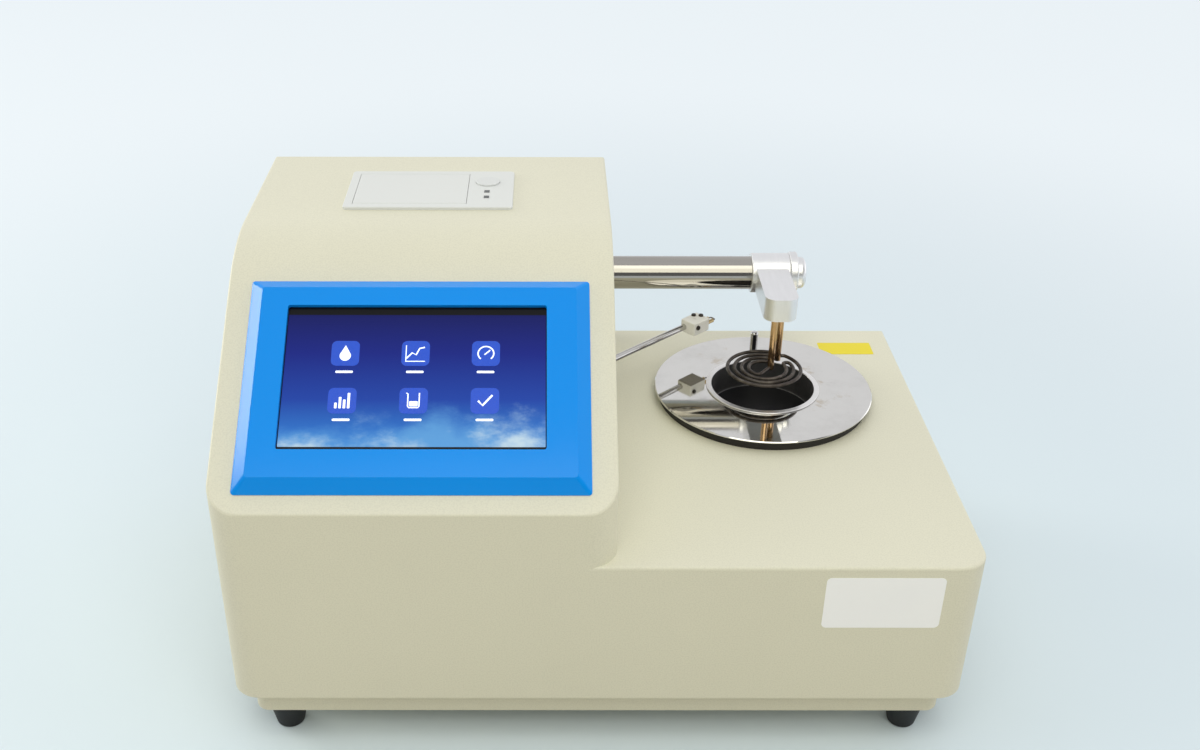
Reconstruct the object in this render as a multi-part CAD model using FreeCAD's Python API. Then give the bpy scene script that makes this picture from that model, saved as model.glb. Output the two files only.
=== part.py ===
import FreeCAD, Part
import functools
import math
import os

from FreeCAD import Placement, Rotation, Vector

# Open-cup flash point tester for the bench. All sizes in millimetres, +Z up.
# The origin lies on the ground under the middle of the casing, and the front faces -Y.

# Casing: a low deck on the right and a tower on the left, with one flush front
CASE_WIDTH = 450.0
CASE_DEPTH = 300.0
TOWER_WIDTH = 234.0
TOWER_HEIGHT = 237.0
DECK_HEIGHT = 99.0
FRONT_HEIGHT = 135.6
SLOPE_ANGLE = 34.0
TOP_BEND_RADIUS = 104.0
FRONT_CORNER_RADIUS = 18.0
EDGE_RADIUS = 1.8
SHEET = 2.0
BOTTOM_FLANGE_WIDTH = 26.0
REAR_FLANGE_WIDTH = 10.0
REAR_RECESS = 8.0
SEAM_INSET = 19.0
SEAM_DROP = 4.0

# Base tray and feet
PLINTH_HEIGHT = 21.0
PLINTH_INSET = 11.0
PLINTH_CORNER_RADIUS = 9.0
PLINTH_EDGE_RADIUS = 1.5
FOOT_HEIGHT = 19.0
FOOT_TOP_RADIUS = 12.5
FOOT_BOTTOM_RADIUS = 8.5
FOOT_EDGE_RADIUS = 2.2
FOOT_SIDE_INSET = 18.5
FOOT_FRONT_INSET = 13.5
FOOT_RECESS_RADIUS = 4.3
FOOT_RECESS_DEPTH = 9.0
TIE_POST_RADIUS = 5.0

# Clearances and small parts that repeat
FIT_CLEARANCE = 0.02
RUNNING_CLEARANCE = 0.05
HOLE_CLEARANCE = 0.2
PANEL_GAP = 0.4
CUT_OVERRUN = 5.0
M3_RADIUS = 1.5
M3_HEAD_RADIUS = 2.9
M3_HEAD_HEIGHT = 2.0
M4_RADIUS = 2.0
M4_HEAD_RADIUS = 4.0
M4_HEAD_HEIGHT = 2.6
CROSS_WIDTH_SHARE = 0.2
CROSS_LENGTH_SHARE = 0.6
CROSS_DEPTH_SHARE = 0.5
HEAD_ROUNDING_SHARE = 0.35
HEX_SIDES = 6
FULL_TURN = 360.0
HALF_TURN = 180.0
QUARTER_TURN = 90.0

# Rear panel and what it carries
PANEL_SCREW_INSET_SHARE = 0.5
PANEL_SIDE_SCREW_SHARES = (0.12, 0.88)
VENT_RING_SHARES = ((0.49, 4), (0.81, 8))
VENT_SLOT_WIDTH = 3.4
VENT_ARC_SHARE = 0.62
FAN_FROM_LEFT = 96.0
FAN_HEIGHT_ABOVE_TRAY = 150.0
FAN_SIZE = 40.0
FAN_DEPTH = 12.0
FAN_CORNER_RADIUS = 3.0
FAN_BORE_RADIUS = 18.5
FAN_HUB_RADIUS = 8.0
FAN_TIP_CLEARANCE = 0.6
FAN_BLADES = 7
FAN_BLADE_THICKNESS = 1.2
FAN_BLADE_TWIST = 38.0
FAN_END_CLEARANCE = 1.5
FAN_SCREW_PITCH = 32.0
FAN_SPINDLE_RADIUS = 1.5
FAN_SPIDER_THICKNESS = 2.0
FAN_SPIDER_WIDTH = 3.0
FAN_MOTOR_RADIUS = 6.5
FITTING_HEIGHT = 38.0
INLET_FROM_LEFT = 52.0
INLET_WIDTH = 30.0
INLET_HEIGHT = 24.0
INLET_DEPTH = 20.0
INLET_FLANGE = 2.2
INLET_MOUTH_WIDTH = 24.4
INLET_MOUTH_HEIGHT = 17.0
INLET_MOUTH_DEPTH = 16.0
INLET_PIN_WIDTH = 2.0
INLET_PIN_HEIGHT = 4.0
INLET_PIN_RECESS = 5.5
INLET_PIN_PITCH = 7.0
INLET_PIN_RISE = 2.0
INLET_CORNER_RADIUS = 3.0
SWITCH_FROM_LEFT = 92.0
SWITCH_WIDTH = 15.0
SWITCH_HEIGHT = 21.0
SWITCH_FLANGE = 1.8
SWITCH_BORDER = 1.6
SWITCH_DEPTH = 17.0
ROCKER_PIVOT_DEPTH = 4.5
ROCKER_PIN_RADIUS = 1.2
ROCKER_SIDE_CLEARANCE = 0.25
ROCKER_TILT = 9.0
ROCKER_HEIGHT_SHARE = 0.8
ROCKER_LIFT = 2.2
ROCKER_HEEL_DEPTH = 3.0

# Screen on the slope: sizes along the slope and square to it
BEZEL_WIDTH = 204.0
BEZEL_HEIGHT = 139.5
BEZEL_THICKNESS = 7.4
BEZEL_CHAMFER = 8.0
BEZEL_RIM = 0.8
BEZEL_CORNER_RADIUS = 2.0
BEZEL_FROM_LEFT = 14.8
BEZEL_FROM_BEND = 12.0
WINDOW_WIDTH = 154.0
WINDOW_HEIGHT = 94.0
WINDOW_SHIFT = -0.8
WINDOW_ABOVE_BEZEL_EDGE = 25.2
WINDOW_CORNER_RADIUS = 1.5
WINDOW_DEPTH = 2.7
GLASS_BORDER = 4.0
GLASS_THICKNESS = 1.8
MODULE_DEPTH = 9.0
MODULE_CLEARANCE = 2.0
STRAP_WIDTH = 12.0
STRAP_THICKNESS = 1.5
STRAP_FROM_MIDDLE = 60.0
STRAP_FOOT = 9.0
STRAP_SCREW_DEPTH = 4.0

# Panel printer in the tower's top
PRINTER_WIDTH = 110.5
PRINTER_DEPTH = 66.0
PRINTER_FROM_LEFT = 60.3
PRINTER_FROM_BACK = 100.0
PRINTER_FLANGE = 2.0
PRINTER_CORNER_RADIUS = 3.0
PRINTER_BORDER = 4.0
PRINTER_WALL = 1.8
PRINTER_BODY_HEIGHT = 46.0
DOOR_WIDTH = 74.0
DOOR_GAP = 0.3
DOOR_BORDER = 6.0
HINGE_PIN_RADIUS = 1.0
HINGE_PIN_LENGTH = 1.6
PLATEN_RADIUS = 4.0
PLATEN_PIN_RADIUS = 1.5
PLATEN_END_GAP = 0.4
PLATEN_DROP = 0.8
PLATEN_FROM_DOOR_EDGE = 6.0
DOOR_EAR_THICKNESS = 2.0
DOOR_EAR_WIDTH = 7.0
DOOR_EAR_INSET = 4.0
PRINT_HEAD_GAP = 0.5
PRINT_HEAD_HEIGHT = 12.0
PAPER_ROLL_RADIUS = 17.0
PAPER_CORE_RADIUS = 6.0
PAPER_ROLL_GAP = 0.3
PAPER_SIDE_GAP = 3.0
BUTTON_RADIUS = 8.0
BUTTON_FROM_RIGHT = 17.6
BUTTON_FROM_FRONT = 45.2
BUTTON_RISE = 0.9
BUTTON_RIM = 1.0
BUTTON_TRAVEL = 1.2
BUTTON_STEM_RADIUS = 2.0
BUTTON_GAP = 0.25
BUTTON_REST_GAP = 0.1
LAMP_WIDTH = 3.4
LAMP_LENGTH = 4.0
LAMP_FROM_FRONT = 17.9
LAMP_PITCH = 9.9
LAMPS = 2
LAMP_RISE = 0.2
PRINTER_BOARD_DROP = 12.0
PRINTER_BOARD_THICKNESS = 1.6
PRINTER_LEDGE = 2.0
KEY_SWITCH_SIZE = 6.0

# Heating place on the deck
WELL_FROM_BACK = 100.2
PLATE_RADIUS = 75.0
PLATE_THICKNESS = 1.5
SPACER_RADIUS = 72.0
SPACER_HEIGHT = 6.3
WELL_RADIUS = 35.4
WELL_WALL = 2.0
WELL_LIP_RADIUS = 39.1
WELL_LIP_HEIGHT = 1.0
WELL_LIP_ROUNDING = 0.4
WELL_DEPTH = 20.0
WELL_FLOOR = 4.0
ELEMENT_HEIGHT = 10.0
ELEMENT_RADIUS = 36.0
INSULATION_WALL = 10.0
INSULATION_FLOOR = 10.0
COVER_FLANGE = 12.0
COVER_THICKNESS = 1.2
COVER_SCREWS = 4
COVER_SCREW_ANGLE = 45.0
SENSOR_RADIUS = 2.8
SENSOR_HEIGHT = 20.5
SENSOR_FROM_WELL = 43.2
SENSOR_ASIDE = 1.2
SENSOR_ROUNDING = 1.6

# Lifting arm: a tube that turns on its own axis and carries the coil over the well
ARM_BEHIND_WELL = 60.2
ARM_ABOVE_PLATE = 59.0
ARM_TUBE_RADIUS = 11.7
ARM_TUBE_WALL = 1.5
HEAD_FROM_WELL = 8.3
SLEEVE_RADIUS = 14.0
SLEEVE_LEFT_REACH = 13.8
SLEEVE_RIGHT_REACH = 13.0
SLEEVE_EDGE_RADIUS = 0.6
LUG_WIDTH = 22.6
LUG_HEIGHT = 16.0
LUG_REACH = 62.8
LUG_CORNER_RADIUS = 8.0
CAP_COLLAR_RADIUS = 14.9
CAP_COLLAR_LENGTH = 5.6
CAP_BOSS_RADIUS = 11.2
CAP_BOSS_LENGTH = 6.4
CAP_ROUNDING = 3.6
CAP_EDGE_RADIUS = 1.0
CAP_SPIGOT_LENGTH = 8.0
ROD_RADIUS = 2.25
LEFT_ROD_RIGHT_OF_WELL = 4.8
LEFT_ROD_BEHIND_WELL = 2.6
RIGHT_ROD_RIGHT_OF_WELL = 11.5
RIGHT_ROD_BEHIND_WELL = 15.5
ROD_SOCKET_DEPTH = 10.0
INSULATOR_WALL = 0.9
INSULATOR_DEPTH = 12.0
BEARING_FLANGE_RADIUS = 21.0
BEARING_FLANGE = 3.0
BEARING_SLEEVE_RADIUS = 14.6
COLLAR_RADIUS = 15.0
COLLAR_LENGTH = 6.0
COLLAR_GAP = 0.3
ARM_TUBE_TAIL = 3.0

# Heating coil: flat rings joined by hairpins, from the right rod in to the left rod
COIL_ABOVE_PLATE = 14.0
COIL_WIRE_RADIUS = 1.25
COIL_OUTER_RADIUS = 25.2
COIL_PITCH = 4.9
COIL_HAIRPIN_ANGLES = (72.0, 20.0, 75.0)
COIL_BAR_ANGLE = 226.0
COIL_BAR_BEND_RADIUS = 3.0
COIL_LEAD_STUB = 0.3
COIL_ROD_OVERHANG = 0.3
RING_ARCS = 4

# Arm drive inside the tower
GEAR_MODULE = 1.25
GEAR_TEETH = 40
PINION_TEETH = 16
GEAR_PRESSURE_ANGLE = 20.0
GEAR_BACKLASH = 0.2
GEAR_ADDENDUM_SHARE = 0.92
GEAR_DEDENDUM_SHARE = 1.25
FLANK_STEPS = 4
GEAR_WIDTH = 8.0
PINION_WIDTH = 10.0
GEAR_HUB_RADIUS = 16.5
GEAR_HUB_LENGTH = 6.0
STAND_FROM_TOWER_WALL = 49.0
STAND_WIDTH = 50.0
STAND_ABOVE_ARM = 24.0
STAND_FOOT = 25.0
STAND_SCREW_SHARE = 0.25
LIFT_MOTOR_RADIUS = 18.5
LIFT_MOTOR_LENGTH = 48.0
LIFT_SHAFT_RADIUS = 3.0
LIFT_SHAFT_DEPTH = 18.0

# Igniter: a rod that swings level out of a slot in the tower's side
IGNITER_ABOVE_PLATE = 24.4
IGNITER_REST_ANGLE = 43.1
IGNITER_TRAVEL = 46.0
IGNITER_OVER_CUP_ANGLE = 16.75
IGNITER_RADIUS = 150.9
PIVOT_FROM_TOWER_WALL = 35.0
IGNITER_ROD_RADIUS = 2.2
IGNITER_HUB_RADIUS = 9.0
IGNITER_HUB_HEIGHT = 14.0
SWING_SHAFT_RADIUS = 2.5
ROD_FROM_PIVOT = 4.0
BLOCK_LENGTH = 16.0
BLOCK_WIDTH = 13.0
BLOCK_SHIFT = -3.3
BLOCK_HEIGHT = 9.5
BLOCK_LIFT = 0.5
BLOCK_EDGE_RADIUS = 0.8
BLOCK_ROD_DEPTH = 10.0
BLOCK_TOP_SCREW_SHARES = ((0.66, 0.80), (0.87, 0.50))
BLOCK_SIDE_SCREW_SHARES = (0.22, 0.62)
BLOCK_SCREW_RADIUS = 1.0
BLOCK_SCREW_HEAD_RADIUS = 1.7
BLOCK_SCREW_HEAD_HEIGHT = 1.2
BLOCK_SCREW_REACH = 2.2
TERMINAL_SHARES = (0.50, 0.17)
TERMINAL_RADIUS = 1.4
TERMINAL_REACH = 6.0
TERMINAL_DEPTH = 5.0
HOT_WIRE_REACH = 2.4
HOT_WIRE_RADIUS = 0.5
HOT_WIRE_BEND_RADIUS = 1.3
SLOT_MARGIN = 1.4
SWING_MOTOR_SIZE = 35.0
SWING_MOTOR_HEIGHT = 28.0
SWING_MOTOR_CORNER = 3.0
SWING_SHAFT_DEPTH = 12.0
SHELF_BELOW_HUB = 14.0
SHELF_MARGIN = 2.5
SWING_FOOT = 22.0

# Electrics on the tray's floor
BOARD_LEFT = 34.0
BOARD_WIDTH = 120.0
BOARD_DEPTH = 100.0
BOARD_THICKNESS = 1.6
BOARD_POST_HEIGHT = 10.0
BOARD_POST_RADIUS = 3.0
BOARD_POST_INSET = 6.0
BOARD_CHIP_SHARES = ((0.18, 0.30, 0.16, 0.16, 0.020), (0.46, 0.46, 0.22, 0.26, 0.025),
                     (0.72, 0.18, 0.14, 0.22, 0.100), (0.10, 0.72, 0.30, 0.12, 0.090),
                     (0.58, 0.80, 0.26, 0.10, 0.110))
SUPPLY_LEFT = 30.0
SUPPLY_FROM_BACK = 95.0
SUPPLY_WIDTH = 98.0
SUPPLY_DEPTH = 62.0
SUPPLY_HEIGHT = 34.0
SUPPLY_SLOTS = 9
SUPPLY_SLOT_WIDTH = 2.4
SUPPLY_SLOT_LENGTH_SHARE = 0.5

# Bare labels
LABEL_THICKNESS = 0.2
FRONT_LABEL_WIDTH = 69.3
FRONT_LABEL_HEIGHT = 36.5
FRONT_LABEL_FROM_RIGHT = 25.7
FRONT_LABEL_ABOVE_CASE = 55.5
FRONT_LABEL_CORNER = 3.0
DECK_LABEL_WIDTH = 39.0
DECK_LABEL_DEPTH = 18.0
DECK_LABEL_FROM_RIGHT = 14.8
DECK_LABEL_BEARING = 60.0
DECK_LABEL_FROM_PLATE = 5.22
DECK_LABEL_CORNER = 0.6

# Planes and axes that the sizes give
X_LEFT = -CASE_WIDTH / 2
X_RIGHT = CASE_WIDTH / 2
X_TOWER = X_LEFT + TOWER_WIDTH
Y_FRONT = -CASE_DEPTH / 2
Y_BACK = CASE_DEPTH / 2
TRAY_Z = FOOT_HEIGHT
FLOOR_Z = TRAY_Z + SHEET
CASE_Z = TRAY_Z + PLINTH_HEIGHT
DECK_Z = CASE_Z + DECK_HEIGHT
TOP_Z = CASE_Z + TOWER_HEIGHT
BEND_Z = CASE_Z + FRONT_HEIGHT
PANEL_Y = Y_BACK - REAR_RECESS
PLATE_Z = DECK_Z + SPACER_HEIGHT + PLATE_THICKNESS
LIP_Z = PLATE_Z + WELL_LIP_HEIGHT
PIVOT_X = X_TOWER - PIVOT_FROM_TOWER_WALL
WELL_X = PIVOT_X + IGNITER_RADIUS * math.cos(math.radians(IGNITER_OVER_CUP_ANGLE))
WELL_Y = Y_BACK - WELL_FROM_BACK
PIVOT_Y = WELL_Y - IGNITER_RADIUS * math.sin(math.radians(IGNITER_OVER_CUP_ANGLE))
WELL_OUTER_RADIUS = WELL_RADIUS + WELL_WALL
ARM_Y = WELL_Y + ARM_BEHIND_WELL
ARM_Z = PLATE_Z + ARM_ABOVE_PLATE
COIL_Z = PLATE_Z + COIL_ABOVE_PLATE
HEAD_X = WELL_X + HEAD_FROM_WELL
SLEEVE_X = HEAD_X - SLEEVE_LEFT_REACH
SLEEVE_END_X = HEAD_X + SLEEVE_RIGHT_REACH
STAND_X = X_TOWER - STAND_FROM_TOWER_WALL
GEAR_X = STAND_X + BEARING_FLANGE + COLLAR_GAP
CENTRE_DISTANCE = GEAR_MODULE * (GEAR_TEETH + PINION_TEETH) / 2
PINION_Z = ARM_Z - CENTRE_DISTANCE
IGNITER_Z = PLATE_Z + IGNITER_ABOVE_PLATE
BLOCK_START = IGNITER_RADIUS - HOT_WIRE_REACH - TERMINAL_REACH - BLOCK_LENGTH
SHELF_Z = IGNITER_Z - IGNITER_HUB_HEIGHT / 2 - SHELF_BELOW_HUB
WINDOW_X = X_LEFT + BEZEL_FROM_LEFT + BEZEL_WIDTH / 2 + WINDOW_SHIFT
WINDOW_V = BEZEL_FROM_BEND + WINDOW_ABOVE_BEZEL_EDGE + WINDOW_HEIGHT / 2
GLASS_WIDTH = WINDOW_WIDTH + 2 * GLASS_BORDER
GLASS_HEIGHT = WINDOW_HEIGHT + 2 * GLASS_BORDER
GLASS_TOP = BEZEL_THICKNESS - WINDOW_DEPTH
GLASS_BOTTOM = GLASS_TOP - GLASS_THICKNESS
MODULE_BACK = GLASS_BOTTOM - MODULE_DEPTH
STRAP_HALF = GLASS_HEIGHT / 2 + MODULE_CLEARANCE + STRAP_FOOT
PRINTER_X = X_LEFT + PRINTER_FROM_LEFT
PRINTER_Y = Y_BACK - PRINTER_FROM_BACK
DOOR_X = PRINTER_X + DOOR_BORDER
DOOR_Y = PRINTER_Y + DOOR_BORDER
DOOR_DEPTH = PRINTER_DEPTH - 2 * DOOR_BORDER
DOOR_AXIS_Y = DOOR_Y + PRINTER_FLANGE
BUTTON_X = PRINTER_X + PRINTER_WIDTH - BUTTON_FROM_RIGHT
BUTTON_Y = PRINTER_Y + BUTTON_FROM_FRONT
BAY_FLOOR_Z = TOP_Z - PRINTER_BODY_HEIGHT + PRINTER_WALL
BAY_WALL_X = DOOR_X + DOOR_WIDTH + PRINTER_WALL
PLATEN_Y = DOOR_Y + DOOR_DEPTH - PLATEN_FROM_DOOR_EDGE
PLATEN_Z = TOP_Z - PLATEN_RADIUS - PLATEN_DROP
PAPER_Y = DOOR_Y + PAPER_ROLL_RADIUS + PAPER_SIDE_GAP
PAPER_Z = BAY_FLOOR_Z + PAPER_ROLL_GAP + PAPER_ROLL_RADIUS
PRINTER_BOARD_Z = TOP_Z - PRINTER_BOARD_DROP
SUPPLY_Y = Y_BACK - SUPPLY_FROM_BACK
BOARD_X = X_LEFT + BOARD_LEFT
BOARD_Y = (Y_FRONT + PLINTH_INSET + SHEET + SUPPLY_Y - BOARD_DEPTH) / 2
FITTING_Z = CASE_Z + FITTING_HEIGHT
FAN_X = X_LEFT + FAN_FROM_LEFT
FAN_Z = TRAY_Z + FAN_HEIGHT_ABOVE_TRAY
FOOT_PLACES = [(side * (CASE_WIDTH / 2 - PLINTH_INSET - FOOT_SIDE_INSET),
                end * (CASE_DEPTH / 2 - PLINTH_INSET - FOOT_FRONT_INSET))
               for side in (-1, 1) for end in (-1, 1)]
UP = Vector(0, 0, 1)
RIGHT = Vector(1, 0, 0)
BACK = Vector(0, 1, 0)


def in_xy(z):
    return lambda u, v: Vector(u, v, z)


def in_yz(x):
    return lambda u, v: Vector(x, u, v)


def in_xz(y):
    return lambda u, v: Vector(u, y, v)


def box(x0, x1, y0, y1, z0, z1):
    return Part.makeBox(x1 - x0, y1 - y0, z1 - z0, Vector(x0, y0, z0))


def rod_x(y, z, x0, x1, radius):
    return Part.makeCylinder(radius, x1 - x0, Vector(x0, y, z), RIGHT)


def rod_y(x, z, y0, y1, radius):
    return Part.makeCylinder(radius, y1 - y0, Vector(x, y0, z), BACK)


def rod_z(x, y, z0, z1, radius):
    return Part.makeCylinder(radius, z1 - z0, Vector(x, y, z0), UP)


def group(solids):
    return Part.makeCompound(solids)


def corner_arc(before, here, after, radius):
    """Start, middle and end of the arc that rounds one corner of an outline."""
    if not radius:
        return here, here, here
    a = Vector(before[0] - here[0], before[1] - here[1], 0)
    b = Vector(after[0] - here[0], after[1] - here[1], 0)
    a.normalize()
    b.normalize()
    half = a.getAngle(b) / 2
    reach = radius / math.tan(half)
    middle_way = a + b
    middle_way.normalize()
    to_middle = radius / math.sin(half) - radius
    points = (a * reach, middle_way * to_middle, b * reach)
    return [(here[0] + p.x, here[1] + p.y) for p in points]


def outline(points, radii, place):
    """Closed wire through the points, with each corner rounded by its radius."""
    count = len(points)
    arcs = [corner_arc(points[i - 1], points[i], points[(i + 1) % count], radii[i])
            for i in range(count)]
    edges = []
    for i, (start, middle, end) in enumerate(arcs):
        if radii[i]:
            edges.append(Part.Arc(place(*start), place(*middle), place(*end)).toShape())
        following = arcs[(i + 1) % count][0]
        edges.append(Part.LineSegment(place(*end), place(*following)).toShape())
    return Part.Wire(edges)


def prism(points, radii, place, way):
    return Part.Face(outline(points, radii, place)).extrude(way)


def rectangle(x0, x1, y0, y1):
    return [(x0, y0), (x1, y0), (x1, y1), (x0, y1)]


def round_box(x0, x1, y0, y1, z0, z1, radius):
    """Box with its upright corners rounded."""
    return prism(rectangle(x0, x1, y0, y1), [radius] * 4, in_xy(z0), UP * (z1 - z0))


def fused(solids):
    joined = solids[0]
    if len(solids) > 1:
        joined = solids[0].multiFuse(solids[1:])
    return joined.removeSplitter()


def on_slope(shape):
    """Move a shape from (across, along the slope, out of it) to its place on the slope."""
    moved = shape.copy()
    moved.Placement = Placement(Vector(0, Y_FRONT, BEND_Z), Rotation(RIGHT, SLOPE_ANGLE))
    return moved


def pan_screw(head_seat, way, radius, head_radius, head_height, length):
    """Pan head screw with a cross recess; its shank runs from the seat along way."""
    shank = Part.makeCylinder(radius, length, Vector(0, 0, 0), UP)
    head = Part.makeCylinder(head_radius, head_height, Vector(0, 0, -head_height), UP)
    rim = [edge for edge in head.Edges if edge.BoundBox.ZMax < -head_height / 2]
    head = head.makeFillet(head_height * HEAD_ROUNDING_SHARE, rim)
    long = head_radius * CROSS_LENGTH_SHARE
    thin = head_radius * CROSS_WIDTH_SHARE / 2
    low = -head_height - CUT_OVERRUN
    deep = -head_height * (1 - CROSS_DEPTH_SHARE)
    cross = box(-long, long, -thin, thin, low, deep).fuse(box(-thin, thin, -long, long, low, deep))
    screw = head.fuse(shank).cut(cross)
    screw.Placement = Placement(head_seat, Rotation(UP, way))
    return screw


def m3_screw(head_seat, way, length):
    return pan_screw(head_seat, way, M3_RADIUS, M3_HEAD_RADIUS, M3_HEAD_HEIGHT, length)


def m4_screw(head_seat, way, length):
    return pan_screw(head_seat, way, M4_RADIUS, M4_HEAD_RADIUS, M4_HEAD_HEIGHT, length)


def tower_profile(inset, bottom):
    """Side view of the tower as (y, z): upright front, slope, bend and level top."""
    slope = math.radians(SLOPE_ANGLE)
    drop = inset / math.cos(slope)
    front = Y_FRONT + inset
    bend = BEND_Z + inset * math.tan(slope) - drop
    top = TOP_Z - inset
    corner = Y_FRONT + (top - BEND_Z + drop) / math.tan(slope)
    points = [(front, bottom), (front, bend), (corner, top), (Y_BACK, top), (Y_BACK, bottom)]
    return points, [0, 0, TOP_BEND_RADIUS - inset, 0, 0]


def tower_solid(inset, bottom):
    left = X_LEFT + inset
    right = X_TOWER - inset
    points, radii = tower_profile(inset, bottom)
    side = prism(points, radii, in_yz(left), RIGHT * (right - left))
    corner = FRONT_CORNER_RADIUS - inset
    plan = prism(rectangle(left, right, Y_FRONT + inset, Y_BACK), [corner, corner, 0, 0],
                 in_xy(bottom), UP * (TOP_Z - bottom))
    return side.common(plan)


def deck_solid(inset, bottom):
    corner = FRONT_CORNER_RADIUS - inset
    return prism(rectangle(X_LEFT + inset, X_RIGHT - inset, Y_FRONT + inset, Y_BACK),
                 [corner, corner, 0, 0], in_xy(bottom), UP * (DECK_Z - inset - bottom))


def soften(shape, chosen):
    """Round the chosen sharp edges by the casing's small edge radius."""
    edges = [edge for edge in shape.Edges if chosen(edge.BoundBox)]
    return shape.makeFillet(EDGE_RADIUS, edges)


def casing_block(inset, bottom):
    return tower_solid(inset, bottom).fuse(deck_solid(inset, bottom))


def rear_outline(inset):
    """L-shaped rear view of the casing's inside as (x, z), drawn in from the outer walls."""
    return [(X_LEFT + inset, CASE_Z + inset), (X_RIGHT - inset, CASE_Z + inset),
            (X_RIGHT - inset, DECK_Z - inset), (X_TOWER - inset, DECK_Z - inset),
            (X_TOWER - inset, TOP_Z - inset), (X_LEFT + inset, TOP_Z - inset)]


def panel_screw_places():
    """Places on the rear flange, as (x, z)."""
    inset = SHEET + REAR_FLANGE_WIDTH * PANEL_SCREW_INSET_SHARE
    left, right = X_LEFT + inset, X_RIGHT - inset
    low, deck, top = CASE_Z + inset, DECK_Z - inset, TOP_Z - inset
    inner = X_TOWER - inset
    places = [(right, low + (deck - low) / 2), (inner, deck + (top - deck) / 2)]
    for share in PANEL_SIDE_SCREW_SHARES:
        places.append((left, low + (top - low) * share))
        places.append((left + (right - left) * share, low))
        places.append((left + (inner - left) * share, top))
    return places


def strap_screw_places():
    """Screw places of the display straps on the slope, as (x, v)."""
    reach = STRAP_HALF - STRAP_FOOT / 2
    return [(WINDOW_X + side * STRAP_FROM_MIDDLE, WINDOW_V + end * reach)
            for side in (-1, 1) for end in (-1, 1)]


def display_opening(low, high):
    """Cut for the display body and its strap screws through the sloping sheet."""
    half_width = GLASS_WIDTH / 2 + MODULE_CLEARANCE
    half_height = GLASS_HEIGHT / 2 + MODULE_CLEARANCE
    cut = box(WINDOW_X - half_width, WINDOW_X + half_width,
              WINDOW_V - half_height, WINDOW_V + half_height, low, high)
    holes = [rod_z(x, v, low, high, M3_RADIUS + HOLE_CLEARANCE) for x, v in strap_screw_places()]
    return on_slope(group([cut] + holes))


def slot_ends():
    """Lowest and highest y of the igniter rod where it crosses the tower's side wall."""
    first = math.radians(IGNITER_REST_ANGLE)
    last = math.radians(IGNITER_REST_ANGLE - IGNITER_TRAVEL)
    high = PIVOT_Y + PIVOT_FROM_TOWER_WALL * math.tan(first) + IGNITER_ROD_RADIUS / math.cos(first)
    low_reach = PIVOT_FROM_TOWER_WALL * math.tan(last)
    low = PIVOT_Y + low_reach - IGNITER_ROD_RADIUS / math.cos(last)
    return low - SLOT_MARGIN, high + SLOT_MARGIN


def cover_screw_places():
    reach = WELL_OUTER_RADIUS + INSULATION_WALL + COVER_THICKNESS + COVER_FLANGE / 2
    step = 2 * math.pi / COVER_SCREWS
    start = math.radians(COVER_SCREW_ANGLE)
    return [(WELL_X + reach * math.cos(start + i * step), WELL_Y + reach * math.sin(start + i * step))
            for i in range(COVER_SCREWS)]


def casing_cuts():
    """Everything that passes through the casing's sheet."""
    slot_low, slot_high = slot_ends()
    slot_half = IGNITER_ROD_RADIUS + SLOT_MARGIN
    slot = prism(rectangle(slot_low, slot_high, IGNITER_Z - slot_half, IGNITER_Z + slot_half),
                 [IGNITER_ROD_RADIUS] * 4, in_yz(X_TOWER - SHEET - CUT_OVERRUN),
                 RIGHT * (SHEET + 2 * CUT_OVERRUN))
    cuts = [slot, display_opening(-SHEET - CUT_OVERRUN, CUT_OVERRUN)]
    cuts.append(rod_x(ARM_Y, ARM_Z, X_TOWER - SHEET - CUT_OVERRUN, X_TOWER + CUT_OVERRUN,
                      BEARING_SLEEVE_RADIUS + RUNNING_CLEARANCE))
    cuts.append(rod_z(WELL_X, WELL_Y, DECK_Z - SHEET - CUT_OVERRUN, DECK_Z + CUT_OVERRUN,
                      WELL_OUTER_RADIUS + HOLE_CLEARANCE))
    edge = PRINTER_BORDER - HOLE_CLEARANCE
    cuts.append(box(PRINTER_X + edge, PRINTER_X + PRINTER_WIDTH - edge,
                    PRINTER_Y + edge, PRINTER_Y + PRINTER_DEPTH - edge,
                    TOP_Z - SHEET - CUT_OVERRUN, TOP_Z + CUT_OVERRUN))
    for x, y in cover_screw_places():
        cuts.append(rod_z(x, y, DECK_Z - SHEET - CUT_OVERRUN, DECK_Z + CUT_OVERRUN,
                          M3_RADIUS + RUNNING_CLEARANCE))
    for x, z in panel_screw_places():
        cuts.append(rod_y(x, z, PANEL_Y - SHEET - CUT_OVERRUN, PANEL_Y, M3_RADIUS + RUNNING_CLEARANCE))
    for x, y in FOOT_PLACES:
        cuts.append(rod_z(x, y, CASE_Z - CUT_OVERRUN, CASE_Z + SHEET + CUT_OVERRUN,
                          M4_RADIUS + RUNNING_CLEARANCE))
    reach = STAND_WIDTH / 2 + PANEL_GAP
    cuts.append(box(STAND_X - SHEET - PANEL_GAP, STAND_X + PANEL_GAP, ARM_Y - reach, ARM_Y + reach,
                    CASE_Z - CUT_OVERRUN, CASE_Z + SHEET + CUT_OVERRUN))
    return cuts


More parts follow.
